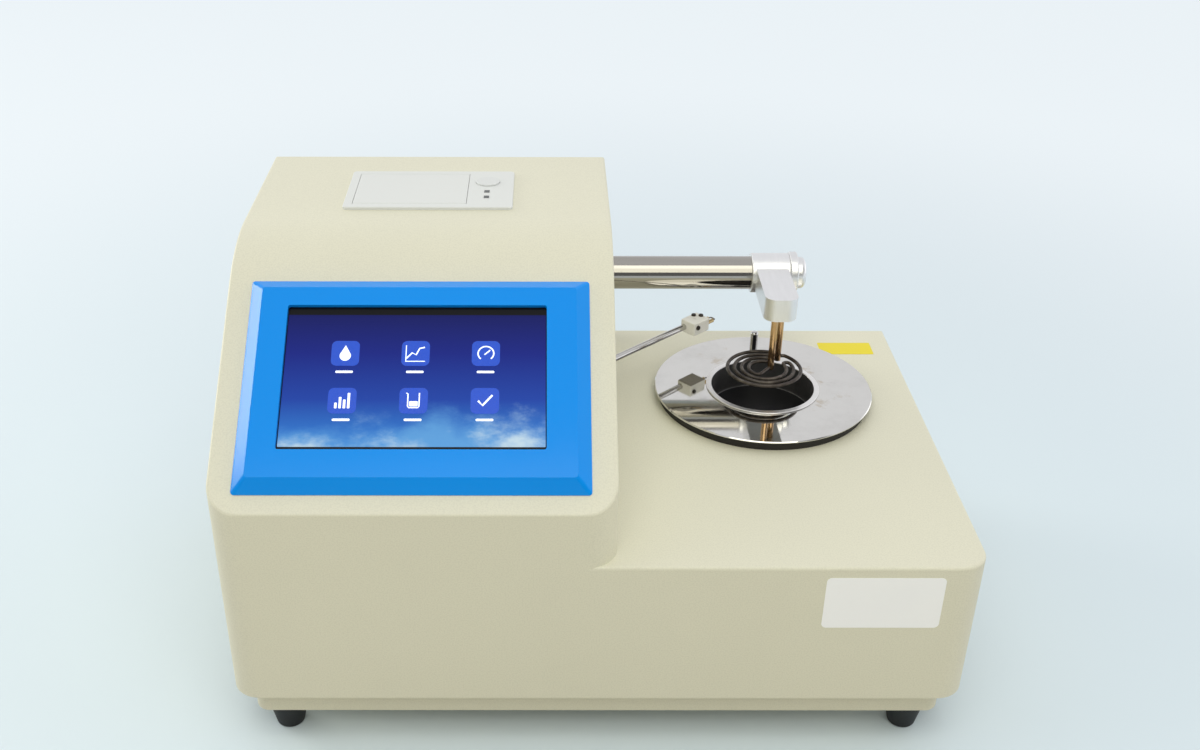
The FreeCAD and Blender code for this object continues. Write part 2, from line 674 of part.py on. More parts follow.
@functools.lru_cache
def casing_skin():
    """Painted skin of the tower and the deck, with a bottom flange and a rear flange."""
    tower = soften(tower_solid(0, CASE_Z), lambda b: b.ZMin > BEND_Z - EDGE_RADIUS and b.YMin < PANEL_Y)
    deck = soften(deck_solid(0, CASE_Z), lambda b: b.ZMin > DECK_Z - EDGE_RADIUS and b.YMin < PANEL_Y)
    skin = tower.fuse(deck).cut(casing_block(SHEET, CASE_Z + SHEET))
    flange = BOTTOM_FLANGE_WIDTH + SHEET
    skin = skin.cut(box(X_LEFT + flange, X_RIGHT - flange, Y_FRONT + flange, Y_BACK - flange,
                        CASE_Z - CUT_OVERRUN, CASE_Z + SHEET + CUT_OVERRUN))
    points = rear_outline(SHEET)
    sharp = [0] * len(points)
    rim = prism(points, sharp, in_xz(PANEL_Y - SHEET), BACK * SHEET)
    opening = prism(rear_outline(SHEET + REAR_FLANGE_WIDTH), sharp,
                    in_xz(PANEL_Y - SHEET - CUT_OVERRUN), BACK * (SHEET + 2 * CUT_OVERRUN))
    skin = skin.fuse(rim.cut(opening)).removeSplitter()
    return skin.cut(casing_cuts())


def skin_room(x0, x1, z0, z1):
    """Box that takes in the whole depth of the casing."""
    return box(x0, x1, Y_FRONT - CUT_OVERRUN, Y_BACK + CUT_OVERRUN, z0, z1)


def rail_room():
    """Room of the rear rail along the bottom, up to the tower's left side."""
    return box(X_LEFT + SEAM_INSET, X_RIGHT, Y_BACK - BOTTOM_FLANGE_WIDTH - 2 * SHEET, Y_BACK,
               CASE_Z, CASE_Z + SHEET + REAR_FLANGE_WIDTH + SHEET)


def tower_wrap():
    """Folded sheet of the tower: front wall, sloping panel and top, between the side seams."""
    room = skin_room(X_LEFT + SEAM_INSET, X_TOWER - SEAM_INSET, CASE_Z, TOP_Z)
    return casing_skin().common(room.cut(rail_room()))


def tower_left_side():
    """Left wall of the tower with its rounded edges, down to the bottom flange."""
    return casing_skin().common(skin_room(X_LEFT, X_LEFT + SEAM_INSET, CASE_Z, TOP_Z))


def tower_right_side():
    """Right wall of the tower with its rounded edges, down to the deck."""
    return casing_skin().common(skin_room(X_TOWER - SEAM_INSET, X_TOWER, DECK_Z, TOP_Z))


def deck_plate():
    """Top sheet of the deck with its rounded edges."""
    return casing_skin().common(skin_room(X_TOWER - SEAM_INSET, X_RIGHT, DECK_Z - SEAM_DROP, DECK_Z))


def deck_skirt():
    """Front and right walls under the deck, with their flanges and the rear rail."""
    room = skin_room(X_TOWER - SEAM_INSET, X_RIGHT, CASE_Z, DECK_Z - SEAM_DROP)
    return casing_skin().common(room.fuse(rail_room()))


def vent_slots():
    """Curved slots in rings before the fan."""
    slots = []
    for share, count in VENT_RING_SHARES:
        inner = FAN_BORE_RADIUS * share - VENT_SLOT_WIDTH / 2
        outer = inner + VENT_SLOT_WIDTH
        sweep = FULL_TURN / count * VENT_ARC_SHARE
        low = PANEL_Y - CUT_OVERRUN
        high = SHEET + 2 * CUT_OVERRUN
        for i in range(count):
            piece = Part.makeCylinder(outer, high, Vector(0, 0, 0), UP, sweep)
            piece = piece.cut(Part.makeCylinder(inner, high, Vector(0, 0, 0), UP, FULL_TURN))
            piece.rotate(Vector(0, 0, 0), UP, i * FULL_TURN / count)
            piece.rotate(Vector(0, 0, 0), RIGHT, -QUARTER_TURN)
            piece.translate(Vector(FAN_X, low, FAN_Z))
            slots.append(piece)
    return slots


def fan_screw_places():
    half = FAN_SCREW_PITCH / 2
    return [(FAN_X + i * half, FAN_Z + j * half) for i in (-1, 1) for j in (-1, 1)]


def rear_panel():
    """Flat panel set into the back, with vents and the cut-outs for its fittings."""
    points = rear_outline(SHEET + PANEL_GAP)
    panel = prism(points, [0] * len(points), in_xz(PANEL_Y), BACK * SHEET)
    low, high = PANEL_Y - CUT_OVERRUN, PANEL_Y + SHEET + CUT_OVERRUN
    cuts = vent_slots()
    for x, z in panel_screw_places() + fan_screw_places():
        cuts.append(rod_y(x, z, low, high, M3_RADIUS + RUNNING_CLEARANCE))
    for from_left, width, height in ((INLET_FROM_LEFT, INLET_WIDTH, INLET_HEIGHT),
                                     (SWITCH_FROM_LEFT, SWITCH_WIDTH, SWITCH_HEIGHT)):
        x = X_LEFT + from_left
        cuts.append(box(x - width / 2 - HOLE_CLEARANCE, x + width / 2 + HOLE_CLEARANCE, low, high,
                        FITTING_Z - height / 2 - HOLE_CLEARANCE, FITTING_Z + height / 2 + HOLE_CLEARANCE))
    return panel.cut(cuts)


def case_screws():
    """Small screws of the rear panel, the fan, the display straps and the heater cover."""
    seat = PANEL_Y + SHEET
    to_front = Vector(0, -1, 0)
    rear = [m3_screw(Vector(x, seat, z), to_front, 2 * SHEET) for x, z in panel_screw_places()]
    rear += [m3_screw(Vector(x, seat, z), to_front, SHEET + FAN_DEPTH / 2) for x, z in fan_screw_places()]
    strap_seat = -SHEET - STRAP_THICKNESS
    length = STRAP_SCREW_DEPTH - strap_seat - FIT_CLEARANCE
    straps = on_slope(group([m3_screw(Vector(x, v, strap_seat), UP, length)
                             for x, v in strap_screw_places()]))
    cover_seat = DECK_Z - SHEET - COVER_THICKNESS
    length = DECK_Z + SPACER_HEIGHT / 2 - FIT_CLEARANCE - cover_seat
    cover = [m3_screw(Vector(x, y, cover_seat), UP, length) for x, y in cover_screw_places()]
    return group(rear + straps.Solids + cover)


def base_tray():
    """Open tray under the casing: the set-back plinth that the feet are screwed to."""
    inset = PLINTH_INSET
    outer = round_box(X_LEFT + inset, X_RIGHT - inset, Y_FRONT + inset, Y_BACK - inset,
                      TRAY_Z, CASE_Z, PLINTH_CORNER_RADIUS)
    low = [edge for edge in outer.Edges if edge.BoundBox.ZMax < TRAY_Z + SHEET / 2]
    outer = outer.makeFillet(PLINTH_EDGE_RADIUS, low)
    inset += SHEET
    inner = round_box(X_LEFT + inset, X_RIGHT - inset, Y_FRONT + inset, Y_BACK - inset,
                      FLOOR_Z, CASE_Z + CUT_OVERRUN, PLINTH_CORNER_RADIUS - SHEET)
    holes = [rod_z(x, y, TRAY_Z - CUT_OVERRUN, FLOOR_Z + CUT_OVERRUN, M4_RADIUS + RUNNING_CLEARANCE)
             for x, y in FOOT_PLACES + stand_screw_places()]
    return outer.cut([inner] + holes)


def board_post_places():
    inset = BOARD_POST_INSET
    return [(x, y) for x in (BOARD_X + inset, BOARD_X + BOARD_WIDTH - inset)
            for y in (BOARD_Y + inset, BOARD_Y + BOARD_DEPTH - inset)]


def tray_posts():
    """Bored posts over the feet, up to the bottom flange, and posts under the main board."""
    posts = []
    for x, y in FOOT_PLACES:
        bore = rod_z(x, y, TRAY_Z, CASE_Z + CUT_OVERRUN, M4_RADIUS + RUNNING_CLEARANCE)
        posts.append(rod_z(x, y, FLOOR_Z, CASE_Z, TIE_POST_RADIUS).cut(bore))
    board_z = FLOOR_Z + BOARD_POST_HEIGHT
    posts += [rod_z(x, y, FLOOR_Z, board_z, BOARD_POST_RADIUS) for x, y in board_post_places()]
    return group(posts)


def rubber_feet():
    """Tapered feet with a rounded tread and a recess for the screw head."""
    inner = M4_RADIUS + RUNNING_CLEARANCE
    feet = []
    for x, y in FOOT_PLACES:
        foot = Part.makeCone(FOOT_BOTTOM_RADIUS, FOOT_TOP_RADIUS, FOOT_HEIGHT, Vector(x, y, 0), UP)
        tread = [edge for edge in foot.Edges if edge.BoundBox.ZMax < FOOT_HEIGHT / 2]
        foot = foot.makeFillet(FOOT_EDGE_RADIUS, tread)
        recess = rod_z(x, y, -CUT_OVERRUN, FOOT_RECESS_DEPTH, FOOT_RECESS_RADIUS)
        hole = rod_z(x, y, -CUT_OVERRUN, FOOT_HEIGHT + CUT_OVERRUN, inner)
        feet.append(foot.cut([recess, hole]))
    return group(feet)


def base_screws():
    """Long screws through feet, tray and posts into the bottom flange, and the stands' screws."""
    length = CASE_Z + SHEET - FOOT_RECESS_DEPTH
    screws = [m4_screw(Vector(x, y, FOOT_RECESS_DEPTH), UP, length) for x, y in FOOT_PLACES]
    seat = FLOOR_Z + SHEET
    screws += [m4_screw(Vector(x, y, seat), -UP, 2 * SHEET) for x, y in stand_screw_places()]
    return group(screws)


def screen_bezel():
    """Chamfered frame around the screen, with a pocket for the glass behind it."""
    x0 = X_LEFT + BEZEL_FROM_LEFT
    x1 = x0 + BEZEL_WIDTH
    v0 = BEZEL_FROM_BEND
    v1 = v0 + BEZEL_HEIGHT
    radii = [BEZEL_CORNER_RADIUS] * 4
    rim = round_box(x0, x1, v0, v1, 0, BEZEL_RIM, BEZEL_CORNER_RADIUS)
    wide = outline(rectangle(x0, x1, v0, v1), radii, in_xy(BEZEL_RIM))
    inset = BEZEL_CHAMFER
    narrow = outline(rectangle(x0 + inset, x1 - inset, v0 + inset, v1 - inset), radii,
                     in_xy(BEZEL_THICKNESS))
    body = rim.fuse(Part.makeLoft([wide, narrow], True, True))
    window = round_box(WINDOW_X - WINDOW_WIDTH / 2, WINDOW_X + WINDOW_WIDTH / 2,
                       WINDOW_V - WINDOW_HEIGHT / 2, WINDOW_V + WINDOW_HEIGHT / 2,
                       -CUT_OVERRUN, BEZEL_THICKNESS + CUT_OVERRUN, WINDOW_CORNER_RADIUS)
    half_width = GLASS_WIDTH / 2 + HOLE_CLEARANCE
    half_height = GLASS_HEIGHT / 2 + HOLE_CLEARANCE
    pocket = box(WINDOW_X - half_width, WINDOW_X + half_width,
                 WINDOW_V - half_height, WINDOW_V + half_height, -CUT_OVERRUN, GLASS_TOP)
    holes = [rod_z(x, v, -CUT_OVERRUN, STRAP_SCREW_DEPTH, M3_RADIUS + RUNNING_CLEARANCE)
             for x, v in strap_screw_places()]
    return on_slope(body.cut([window, pocket] + holes))


def screen_plate(low, high):
    return on_slope(box(WINDOW_X - GLASS_WIDTH / 2, WINDOW_X + GLASS_WIDTH / 2,
                        WINDOW_V - GLASS_HEIGHT / 2, WINDOW_V + GLASS_HEIGHT / 2, low, high))


def touch_glass():
    return screen_plate(GLASS_BOTTOM, GLASS_TOP)


def display_module():
    return screen_plate(MODULE_BACK, GLASS_BOTTOM)


def display_straps():
    """Two stepped straps that hold the display against the bezel from inside."""
    sheet_back = -SHEET
    inner = GLASS_HEIGHT / 2 + MODULE_CLEARANCE / 2
    low = MODULE_BACK - STRAP_THICKNESS
    foot = sheet_back - STRAP_THICKNESS
    points = [(-STRAP_HALF, sheet_back), (-STRAP_HALF, foot), (-inner - STRAP_THICKNESS, foot),
              (-inner - STRAP_THICKNESS, low), (inner + STRAP_THICKNESS, low),
              (inner + STRAP_THICKNESS, foot), (STRAP_HALF, foot), (STRAP_HALF, sheet_back),
              (inner, sheet_back), (inner, MODULE_BACK), (-inner, MODULE_BACK), (-inner, sheet_back)]
    points = [(WINDOW_V + v, w) for v, w in points]
    straps = []
    for side in (-1, 1):
        x = WINDOW_X + side * STRAP_FROM_MIDDLE - STRAP_WIDTH / 2
        straps.append(prism(points, [0] * len(points), in_yz(x), RIGHT * STRAP_WIDTH))
    holes = [rod_z(x, v, low - CUT_OVERRUN, CUT_OVERRUN, M3_RADIUS + RUNNING_CLEARANCE)
             for x, v in strap_screw_places()]
    return on_slope(group([strap.cut(holes) for strap in straps]))


def printer_frame():
    """White printer housing: top flange, paper bay with a door opening and a board bay."""
    x1 = PRINTER_X + PRINTER_WIDTH
    y1 = PRINTER_Y + PRINTER_DEPTH
    flange = round_box(PRINTER_X, x1, PRINTER_Y, y1, TOP_Z, TOP_Z + PRINTER_FLANGE, PRINTER_CORNER_RADIUS)
    rim = [edge for edge in flange.Edges if edge.BoundBox.ZMin > TOP_Z + PRINTER_FLANGE / 2]
    flange = flange.makeFillet(PRINTER_FLANGE * HEAD_ROUNDING_SHARE, rim)
    border = PRINTER_BORDER
    low = TOP_Z - PRINTER_BODY_HEIGHT
    body = box(PRINTER_X + border, x1 - border, PRINTER_Y + border, y1 - border, low, TOP_Z)
    bay = box(DOOR_X - DOOR_GAP, DOOR_X + DOOR_WIDTH + DOOR_GAP, DOOR_Y - DOOR_GAP,
              DOOR_Y + DOOR_DEPTH + DOOR_GAP, BAY_FLOOR_Z, TOP_Z + PRINTER_FLANGE + CUT_OVERRUN)
    side_bay = box(BAY_WALL_X, x1 - border - PRINTER_WALL, DOOR_Y, DOOR_Y + DOOR_DEPTH,
                   BAY_FLOOR_Z, TOP_Z)
    ledges = [box(BAY_WALL_X, BAY_WALL_X + PRINTER_LEDGE, DOOR_Y, DOOR_Y + DOOR_DEPTH,
                  BAY_FLOOR_Z, PRINTER_BOARD_Z),
              box(x1 - border - PRINTER_WALL - PRINTER_LEDGE, x1 - border - PRINTER_WALL, DOOR_Y,
                  DOOR_Y + DOOR_DEPTH, BAY_FLOOR_Z, PRINTER_BOARD_Z)]
    pins = rod_x(DOOR_AXIS_Y, TOP_Z, DOOR_X - DOOR_GAP - HINGE_PIN_LENGTH,
                 DOOR_X + DOOR_WIDTH + DOOR_GAP + HINGE_PIN_LENGTH, HINGE_PIN_RADIUS + RUNNING_CLEARANCE)
    cuts = [bay, side_bay.cut(ledges), pins]
    cuts.append(rod_z(BUTTON_X, BUTTON_Y, TOP_Z - CUT_OVERRUN, TOP_Z + PRINTER_FLANGE + CUT_OVERRUN,
                      BUTTON_RADIUS + BUTTON_GAP))
    for lamp in range(LAMPS):
        cuts.append(lamp_block(lamp, RUNNING_CLEARANCE))
    return flange.fuse(body).removeSplitter().cut(cuts)


def lamp_block(lamp, gap):
    y = PRINTER_Y + LAMP_FROM_FRONT + lamp * LAMP_PITCH
    return box(BUTTON_X - LAMP_WIDTH / 2 - gap, BUTTON_X + LAMP_WIDTH / 2 + gap,
               y - LAMP_LENGTH / 2 - gap, y + LAMP_LENGTH / 2 + gap,
               PRINTER_BOARD_Z + PRINTER_BOARD_THICKNESS, TOP_Z + PRINTER_FLANGE + LAMP_RISE)


def printer_lamps():
    return group([lamp_block(lamp, 0) for lamp in range(LAMPS)])


def printer_board():
    """Small board on its ledges, with the key switch under the feed button."""
    right = PRINTER_X + PRINTER_WIDTH - PRINTER_BORDER - PRINTER_WALL
    top = PRINTER_BOARD_Z + PRINTER_BOARD_THICKNESS
    board = box(BAY_WALL_X + FIT_CLEARANCE, right - FIT_CLEARANCE, DOOR_Y + FIT_CLEARANCE,
                DOOR_Y + DOOR_DEPTH - FIT_CLEARANCE, PRINTER_BOARD_Z, top)
    half = KEY_SWITCH_SIZE / 2
    switch = box(BUTTON_X - half, BUTTON_X + half, BUTTON_Y - half, BUTTON_Y + half, top, top + half)
    return board.fuse(switch)


def feed_button():
    """Round key that slides in the printer's flange, held by a rim under it."""
    face = TOP_Z + PRINTER_FLANGE + BUTTON_RISE
    rim_top = TOP_Z - BUTTON_REST_GAP
    cap = rod_z(BUTTON_X, BUTTON_Y, rim_top, face, BUTTON_RADIUS)
    crown = [edge for edge in cap.Edges if edge.BoundBox.ZMin > TOP_Z]
    cap = cap.makeFillet(BUTTON_RISE / 2, crown)
    rim = rod_z(BUTTON_X, BUTTON_Y, rim_top - BUTTON_RIM, rim_top, BUTTON_RADIUS + 2 * BUTTON_GAP)
    stem_low = PRINTER_BOARD_Z + PRINTER_BOARD_THICKNESS + KEY_SWITCH_SIZE / 2 + BUTTON_TRAVEL
    stem = rod_z(BUTTON_X, BUTTON_Y, stem_low + BUTTON_REST_GAP, rim_top, BUTTON_STEM_RADIUS)
    return fused([cap, rim, stem])


def printer_door():
    """Paper door: a plate with a round front edge, hinge pins and ears for the platen."""
    x1 = DOOR_X + DOOR_WIDTH
    plate = box(DOOR_X, x1, DOOR_AXIS_Y, DOOR_Y + DOOR_DEPTH, TOP_Z, TOP_Z + PRINTER_FLANGE)
    barrel = rod_x(DOOR_AXIS_Y, TOP_Z, DOOR_X, x1, PRINTER_FLANGE)
    pins = rod_x(DOOR_AXIS_Y, TOP_Z, DOOR_X - HINGE_PIN_LENGTH, x1 + HINGE_PIN_LENGTH, HINGE_PIN_RADIUS)
    ears = []
    for x in (DOOR_X + DOOR_EAR_INSET, x1 - DOOR_EAR_INSET - DOOR_EAR_THICKNESS):
        ear = box(x, x + DOOR_EAR_THICKNESS, PLATEN_Y - DOOR_EAR_WIDTH / 2, PLATEN_Y + DOOR_EAR_WIDTH / 2,
                  PLATEN_Z - PLATEN_RADIUS, TOP_Z)
        ears.append(ear.cut(rod_x(PLATEN_Y, PLATEN_Z, x - CUT_OVERRUN, x + DOOR_EAR_THICKNESS + CUT_OVERRUN,
                                  PLATEN_PIN_RADIUS + RUNNING_CLEARANCE)))
    return fused([plate, barrel, pins] + ears)


def platen_roller():
    """Rubber feed roller with stub pins in the door's ears."""
    inner = DOOR_EAR_INSET + DOOR_EAR_THICKNESS
    x0 = DOOR_X + inner + PLATEN_END_GAP
    x1 = DOOR_X + DOOR_WIDTH - inner - PLATEN_END_GAP
    drum = rod_x(PLATEN_Y, PLATEN_Z, x0, x1, PLATEN_RADIUS)
    pin = rod_x(PLATEN_Y, PLATEN_Z, DOOR_X + DOOR_EAR_INSET, DOOR_X + DOOR_WIDTH - DOOR_EAR_INSET,
                PLATEN_PIN_RADIUS)
    return drum.fuse(pin)


def print_head():
    """Thermal head on the bay's rear wall, facing the platen."""
    y0 = PLATEN_Y + PLATEN_RADIUS + PRINT_HEAD_GAP
    inner = DOOR_EAR_INSET + DOOR_EAR_THICKNESS + PLATEN_END_GAP
    return box(DOOR_X + inner, DOOR_X + DOOR_WIDTH - inner, y0, DOOR_Y + DOOR_DEPTH + DOOR_GAP,
               TOP_Z - PRINT_HEAD_HEIGHT, TOP_Z - PLATEN_DROP)


def paper_roll():
    x0 = DOOR_X + PAPER_SIDE_GAP
    x1 = DOOR_X + DOOR_WIDTH - PAPER_SIDE_GAP
    roll = rod_x(PAPER_Y, PAPER_Z, x0, x1, PAPER_ROLL_RADIUS)
    return roll.cut(rod_x(PAPER_Y, PAPER_Z, x0 - CUT_OVERRUN, x1 + CUT_OVERRUN, PAPER_CORE_RADIUS))


def heating_well():
    """Cup seat with a low lip that rests on the plate."""
    body = rod_z(WELL_X, WELL_Y, LIP_Z - WELL_DEPTH - WELL_FLOOR, LIP_Z, WELL_OUTER_RADIUS)
    lip = rod_z(WELL_X, WELL_Y, PLATE_Z, LIP_Z, WELL_LIP_RADIUS)
    well = fused([body, lip])
    bore = rod_z(WELL_X, WELL_Y, LIP_Z - WELL_DEPTH, LIP_Z + CUT_OVERRUN, WELL_RADIUS)
    well = well.cut(bore)
    rim = [edge for edge in well.Edges if edge.BoundBox.ZMin > LIP_Z - WELL_LIP_ROUNDING]
    return well.makeFillet(WELL_LIP_ROUNDING, rim)


def heat_plate():
    plate = rod_z(WELL_X, WELL_Y, PLATE_Z - PLATE_THICKNESS, PLATE_Z, PLATE_RADIUS)
    rim = [edge for edge in plate.Edges if edge.BoundBox.DiagonalLength > PLATE_RADIUS]
    plate = plate.makeChamfer(PLATE_THICKNESS * HEAD_ROUNDING_SHARE, rim)
    hole = rod_z(WELL_X, WELL_Y, DECK_Z, PLATE_Z + CUT_OVERRUN, WELL_OUTER_RADIUS + RUNNING_CLEARANCE)
    return plate.cut([hole, sensor_stem(RUNNING_CLEARANCE)])


def sensor_stem(gap):
    x = WELL_X - SENSOR_ASIDE
    y = WELL_Y + SENSOR_FROM_WELL
    return rod_z(x, y, DECK_Z + SPACER_HEIGHT / 2, PLATE_Z + SENSOR_HEIGHT, SENSOR_RADIUS + gap)


def sensor_pin():
    pin = sensor_stem(0)
    tip = [edge for edge in pin.Edges if edge.BoundBox.ZMin > PLATE_Z + SENSOR_HEIGHT / 2]
    return pin.makeFillet(SENSOR_ROUNDING, tip)


def plate_spacer():
    """Dark insulating disc between the plate and the deck."""
    disc = rod_z(WELL_X, WELL_Y, DECK_Z, DECK_Z + SPACER_HEIGHT, SPACER_RADIUS)
    hole = rod_z(WELL_X, WELL_Y, DECK_Z - CUT_OVERRUN, PLATE_Z, WELL_OUTER_RADIUS + RUNNING_CLEARANCE)
    holes = [rod_z(x, y, DECK_Z - CUT_OVERRUN, DECK_Z + SPACER_HEIGHT / 2, M3_RADIUS + RUNNING_CLEARANCE)
             for x, y in cover_screw_places()]
    return disc.cut([hole, sensor_stem(RUNNING_CLEARANCE)] + holes)


def heater_element():
    top = LIP_Z - WELL_DEPTH - WELL_FLOOR
    return rod_z(WELL_X, WELL_Y, top - ELEMENT_HEIGHT, top, ELEMENT_RADIUS)


def insulation_low():
    return LIP_Z - WELL_DEPTH - WELL_FLOOR - ELEMENT_HEIGHT - INSULATION_FLOOR


def insulation_cup():
    """Cup of insulation round the well and under the heater element."""
    cup = rod_z(WELL_X, WELL_Y, insulation_low(), DECK_Z - SHEET, WELL_OUTER_RADIUS + INSULATION_WALL)
    inside = rod_z(WELL_X, WELL_Y, insulation_low() + INSULATION_FLOOR, DECK_Z + CUT_OVERRUN,
                   WELL_OUTER_RADIUS + HOLE_CLEARANCE)
    return cup.cut(inside)


def heater_cover():
    """Sheet pan that holds the insulation up against the deck."""
    inner = WELL_OUTER_RADIUS + INSULATION_WALL + FIT_CLEARANCE
    outer = inner + COVER_THICKNESS
    top = DECK_Z - SHEET
    low = insulation_low() - COVER_THICKNESS
    pan = rod_z(WELL_X, WELL_Y, low, top, outer)
    flange = rod_z(WELL_X, WELL_Y, top - COVER_THICKNESS, top, outer + COVER_FLANGE)
    inside = rod_z(WELL_X, WELL_Y, insulation_low(), top + CUT_OVERRUN, inner)
    holes = [rod_z(x, y, low, top + CUT_OVERRUN, M3_RADIUS + RUNNING_CLEARANCE)
             for x, y in cover_screw_places()]
    return fused([pan, flange]).cut([inside] + holes)


def arm_tube():
    x0 = STAND_X - SHEET - COLLAR_GAP - COLLAR_LENGTH - ARM_TUBE_TAIL
    tube = rod_x(ARM_Y, ARM_Z, x0, SLEEVE_END_X, ARM_TUBE_RADIUS)
    return tube.cut(rod_x(ARM_Y, ARM_Z, x0 - CUT_OVERRUN, SLEEVE_END_X + CUT_OVERRUN,
                          ARM_TUBE_RADIUS - ARM_TUBE_WALL))


def rod_places():
    """Middle of the left and of the right coil rod, as (x, y)."""
    return ((WELL_X + LEFT_ROD_RIGHT_OF_WELL, WELL_Y + LEFT_ROD_BEHIND_WELL),
            (WELL_X + RIGHT_ROD_RIGHT_OF_WELL, WELL_Y + RIGHT_ROD_BEHIND_WELL))


def arm_head():
    """Sleeve on the tube with a flat lug that reaches forward over the well."""
    sleeve = rod_x(ARM_Y, ARM_Z, SLEEVE_X, SLEEVE_END_X, SLEEVE_RADIUS)
    rims = [edge for edge in sleeve.Edges if edge.BoundBox.XLength < SLEEVE_EDGE_RADIUS]
    sleeve = sleeve.makeFillet(SLEEVE_EDGE_RADIUS, rims)
    half = LUG_HEIGHT / 2
    radii = [LUG_CORNER_RADIUS, LUG_CORNER_RADIUS, 0, 0]
    lug = prism(rectangle(HEAD_X - LUG_WIDTH / 2, HEAD_X + LUG_WIDTH / 2, ARM_Y - LUG_REACH, ARM_Y),
                radii, in_xy(ARM_Z - half), UP * LUG_HEIGHT)
    bore = rod_x(ARM_Y, ARM_Z, SLEEVE_X - CUT_OVERRUN, SLEEVE_END_X + CUT_OVERRUN,
                 ARM_TUBE_RADIUS + FIT_CLEARANCE)
    screw_hole = rod_y(HEAD_X, ARM_Z, ARM_Y, ARM_Y + SLEEVE_RADIUS + CUT_OVERRUN,
                       M4_RADIUS + FIT_CLEARANCE)
    pockets = [rod_z(x, y, ARM_Z - half - CUT_OVERRUN, ARM_Z - half + INSULATOR_DEPTH + FIT_CLEARANCE,
                     ROD_RADIUS + INSULATOR_WALL + FIT_CLEARANCE) for x, y in rod_places()]
    return fused([sleeve, lug]).cut([bore, screw_hole] + pockets)


def grub_screw():
    """Set screw at the back of the sleeve with a hexagon socket."""
    y0 = ARM_Y + ARM_TUBE_RADIUS + FIT_CLEARANCE
    y1 = ARM_Y + SLEEVE_RADIUS - FIT_CLEARANCE
    screw = rod_y(HEAD_X, ARM_Z, y0, y1, M4_RADIUS)
    reach = M4_RADIUS / 2
    corners = [(HEAD_X + reach * math.cos(2 * math.pi * i / HEX_SIDES),
                ARM_Z + reach * math.sin(2 * math.pi * i / HEX_SIDES)) for i in range(HEX_SIDES)]
    socket = prism(corners, [0] * HEX_SIDES, in_xz(y0 + (y1 - y0) / 2), BACK * CUT_OVERRUN)
    return screw.cut(socket)


def arm_end_cap():
    """Turned cap: spigot in the tube, collar and a round-edged boss."""
    collar_x = SLEEVE_END_X
    boss_x = collar_x + CAP_COLLAR_LENGTH
    end_x = boss_x + CAP_BOSS_LENGTH
    collar = rod_x(ARM_Y, ARM_Z, collar_x, boss_x, CAP_COLLAR_RADIUS)
    rims = [edge for edge in collar.Edges if edge.BoundBox.XLength < CAP_EDGE_RADIUS]
    collar = collar.makeFillet(CAP_EDGE_RADIUS, rims)
    boss = rod_x(ARM_Y, ARM_Z, boss_x - CAP_EDGE_RADIUS, end_x, CAP_BOSS_RADIUS)
    rim = [edge for edge in boss.Edges if edge.BoundBox.XMin > boss_x + CAP_EDGE_RADIUS]
    boss = boss.makeFillet(CAP_ROUNDING, rim)
    spigot = rod_x(ARM_Y, ARM_Z, collar_x - CAP_SPIGOT_LENGTH, collar_x + CAP_EDGE_RADIUS,
                   ARM_TUBE_RADIUS - ARM_TUBE_WALL - FIT_CLEARANCE)
    return fused([collar, boss, spigot])


def rod_insulators():
    """Ceramic sleeves that hold the rods in the lug."""
    low = ARM_Z - LUG_HEIGHT / 2
    sleeves = []
    for x, y in rod_places():
        sleeve = rod_z(x, y, low, low + INSULATOR_DEPTH, ROD_RADIUS + INSULATOR_WALL)
        hole = rod_z(x, y, low - CUT_OVERRUN, low + ROD_SOCKET_DEPTH, ROD_RADIUS + FIT_CLEARANCE)
        sleeves.append(sleeve.cut(hole))
    return group(sleeves)


def coil_rods():
    low = COIL_Z - COIL_WIRE_RADIUS - COIL_ROD_OVERHANG
    top = ARM_Z - LUG_HEIGHT / 2 + ROD_SOCKET_DEPTH - FIT_CLEARANCE
    return group([rod_z(x, y, low, top, ROD_RADIUS) for x, y in rod_places()])


def arc_edge(centre, radius, start, sweep):
    """Level arc about the centre, with its angles in degrees."""
    def at(angle):
        a = math.radians(angle)
        return centre + Vector(radius * math.cos(a), radius * math.sin(a), 0)
    return Part.Arc(at(start), at(start + sweep / 2), at(start + sweep)).toShape()


def line_edge(start, end):
    return Part.LineSegment(start, end).toShape()


def ring_edges(centre, radius, start, end):
    """Stretch of a ring as equal arcs, from one angle to another."""
    sweep = (end - start) / RING_ARCS
    return [arc_edge(centre, radius, start + i * sweep, sweep) for i in range(RING_ARCS)]


def along(angle):
    return Vector(math.cos(math.radians(angle)), math.sin(math.radians(angle)), 0)


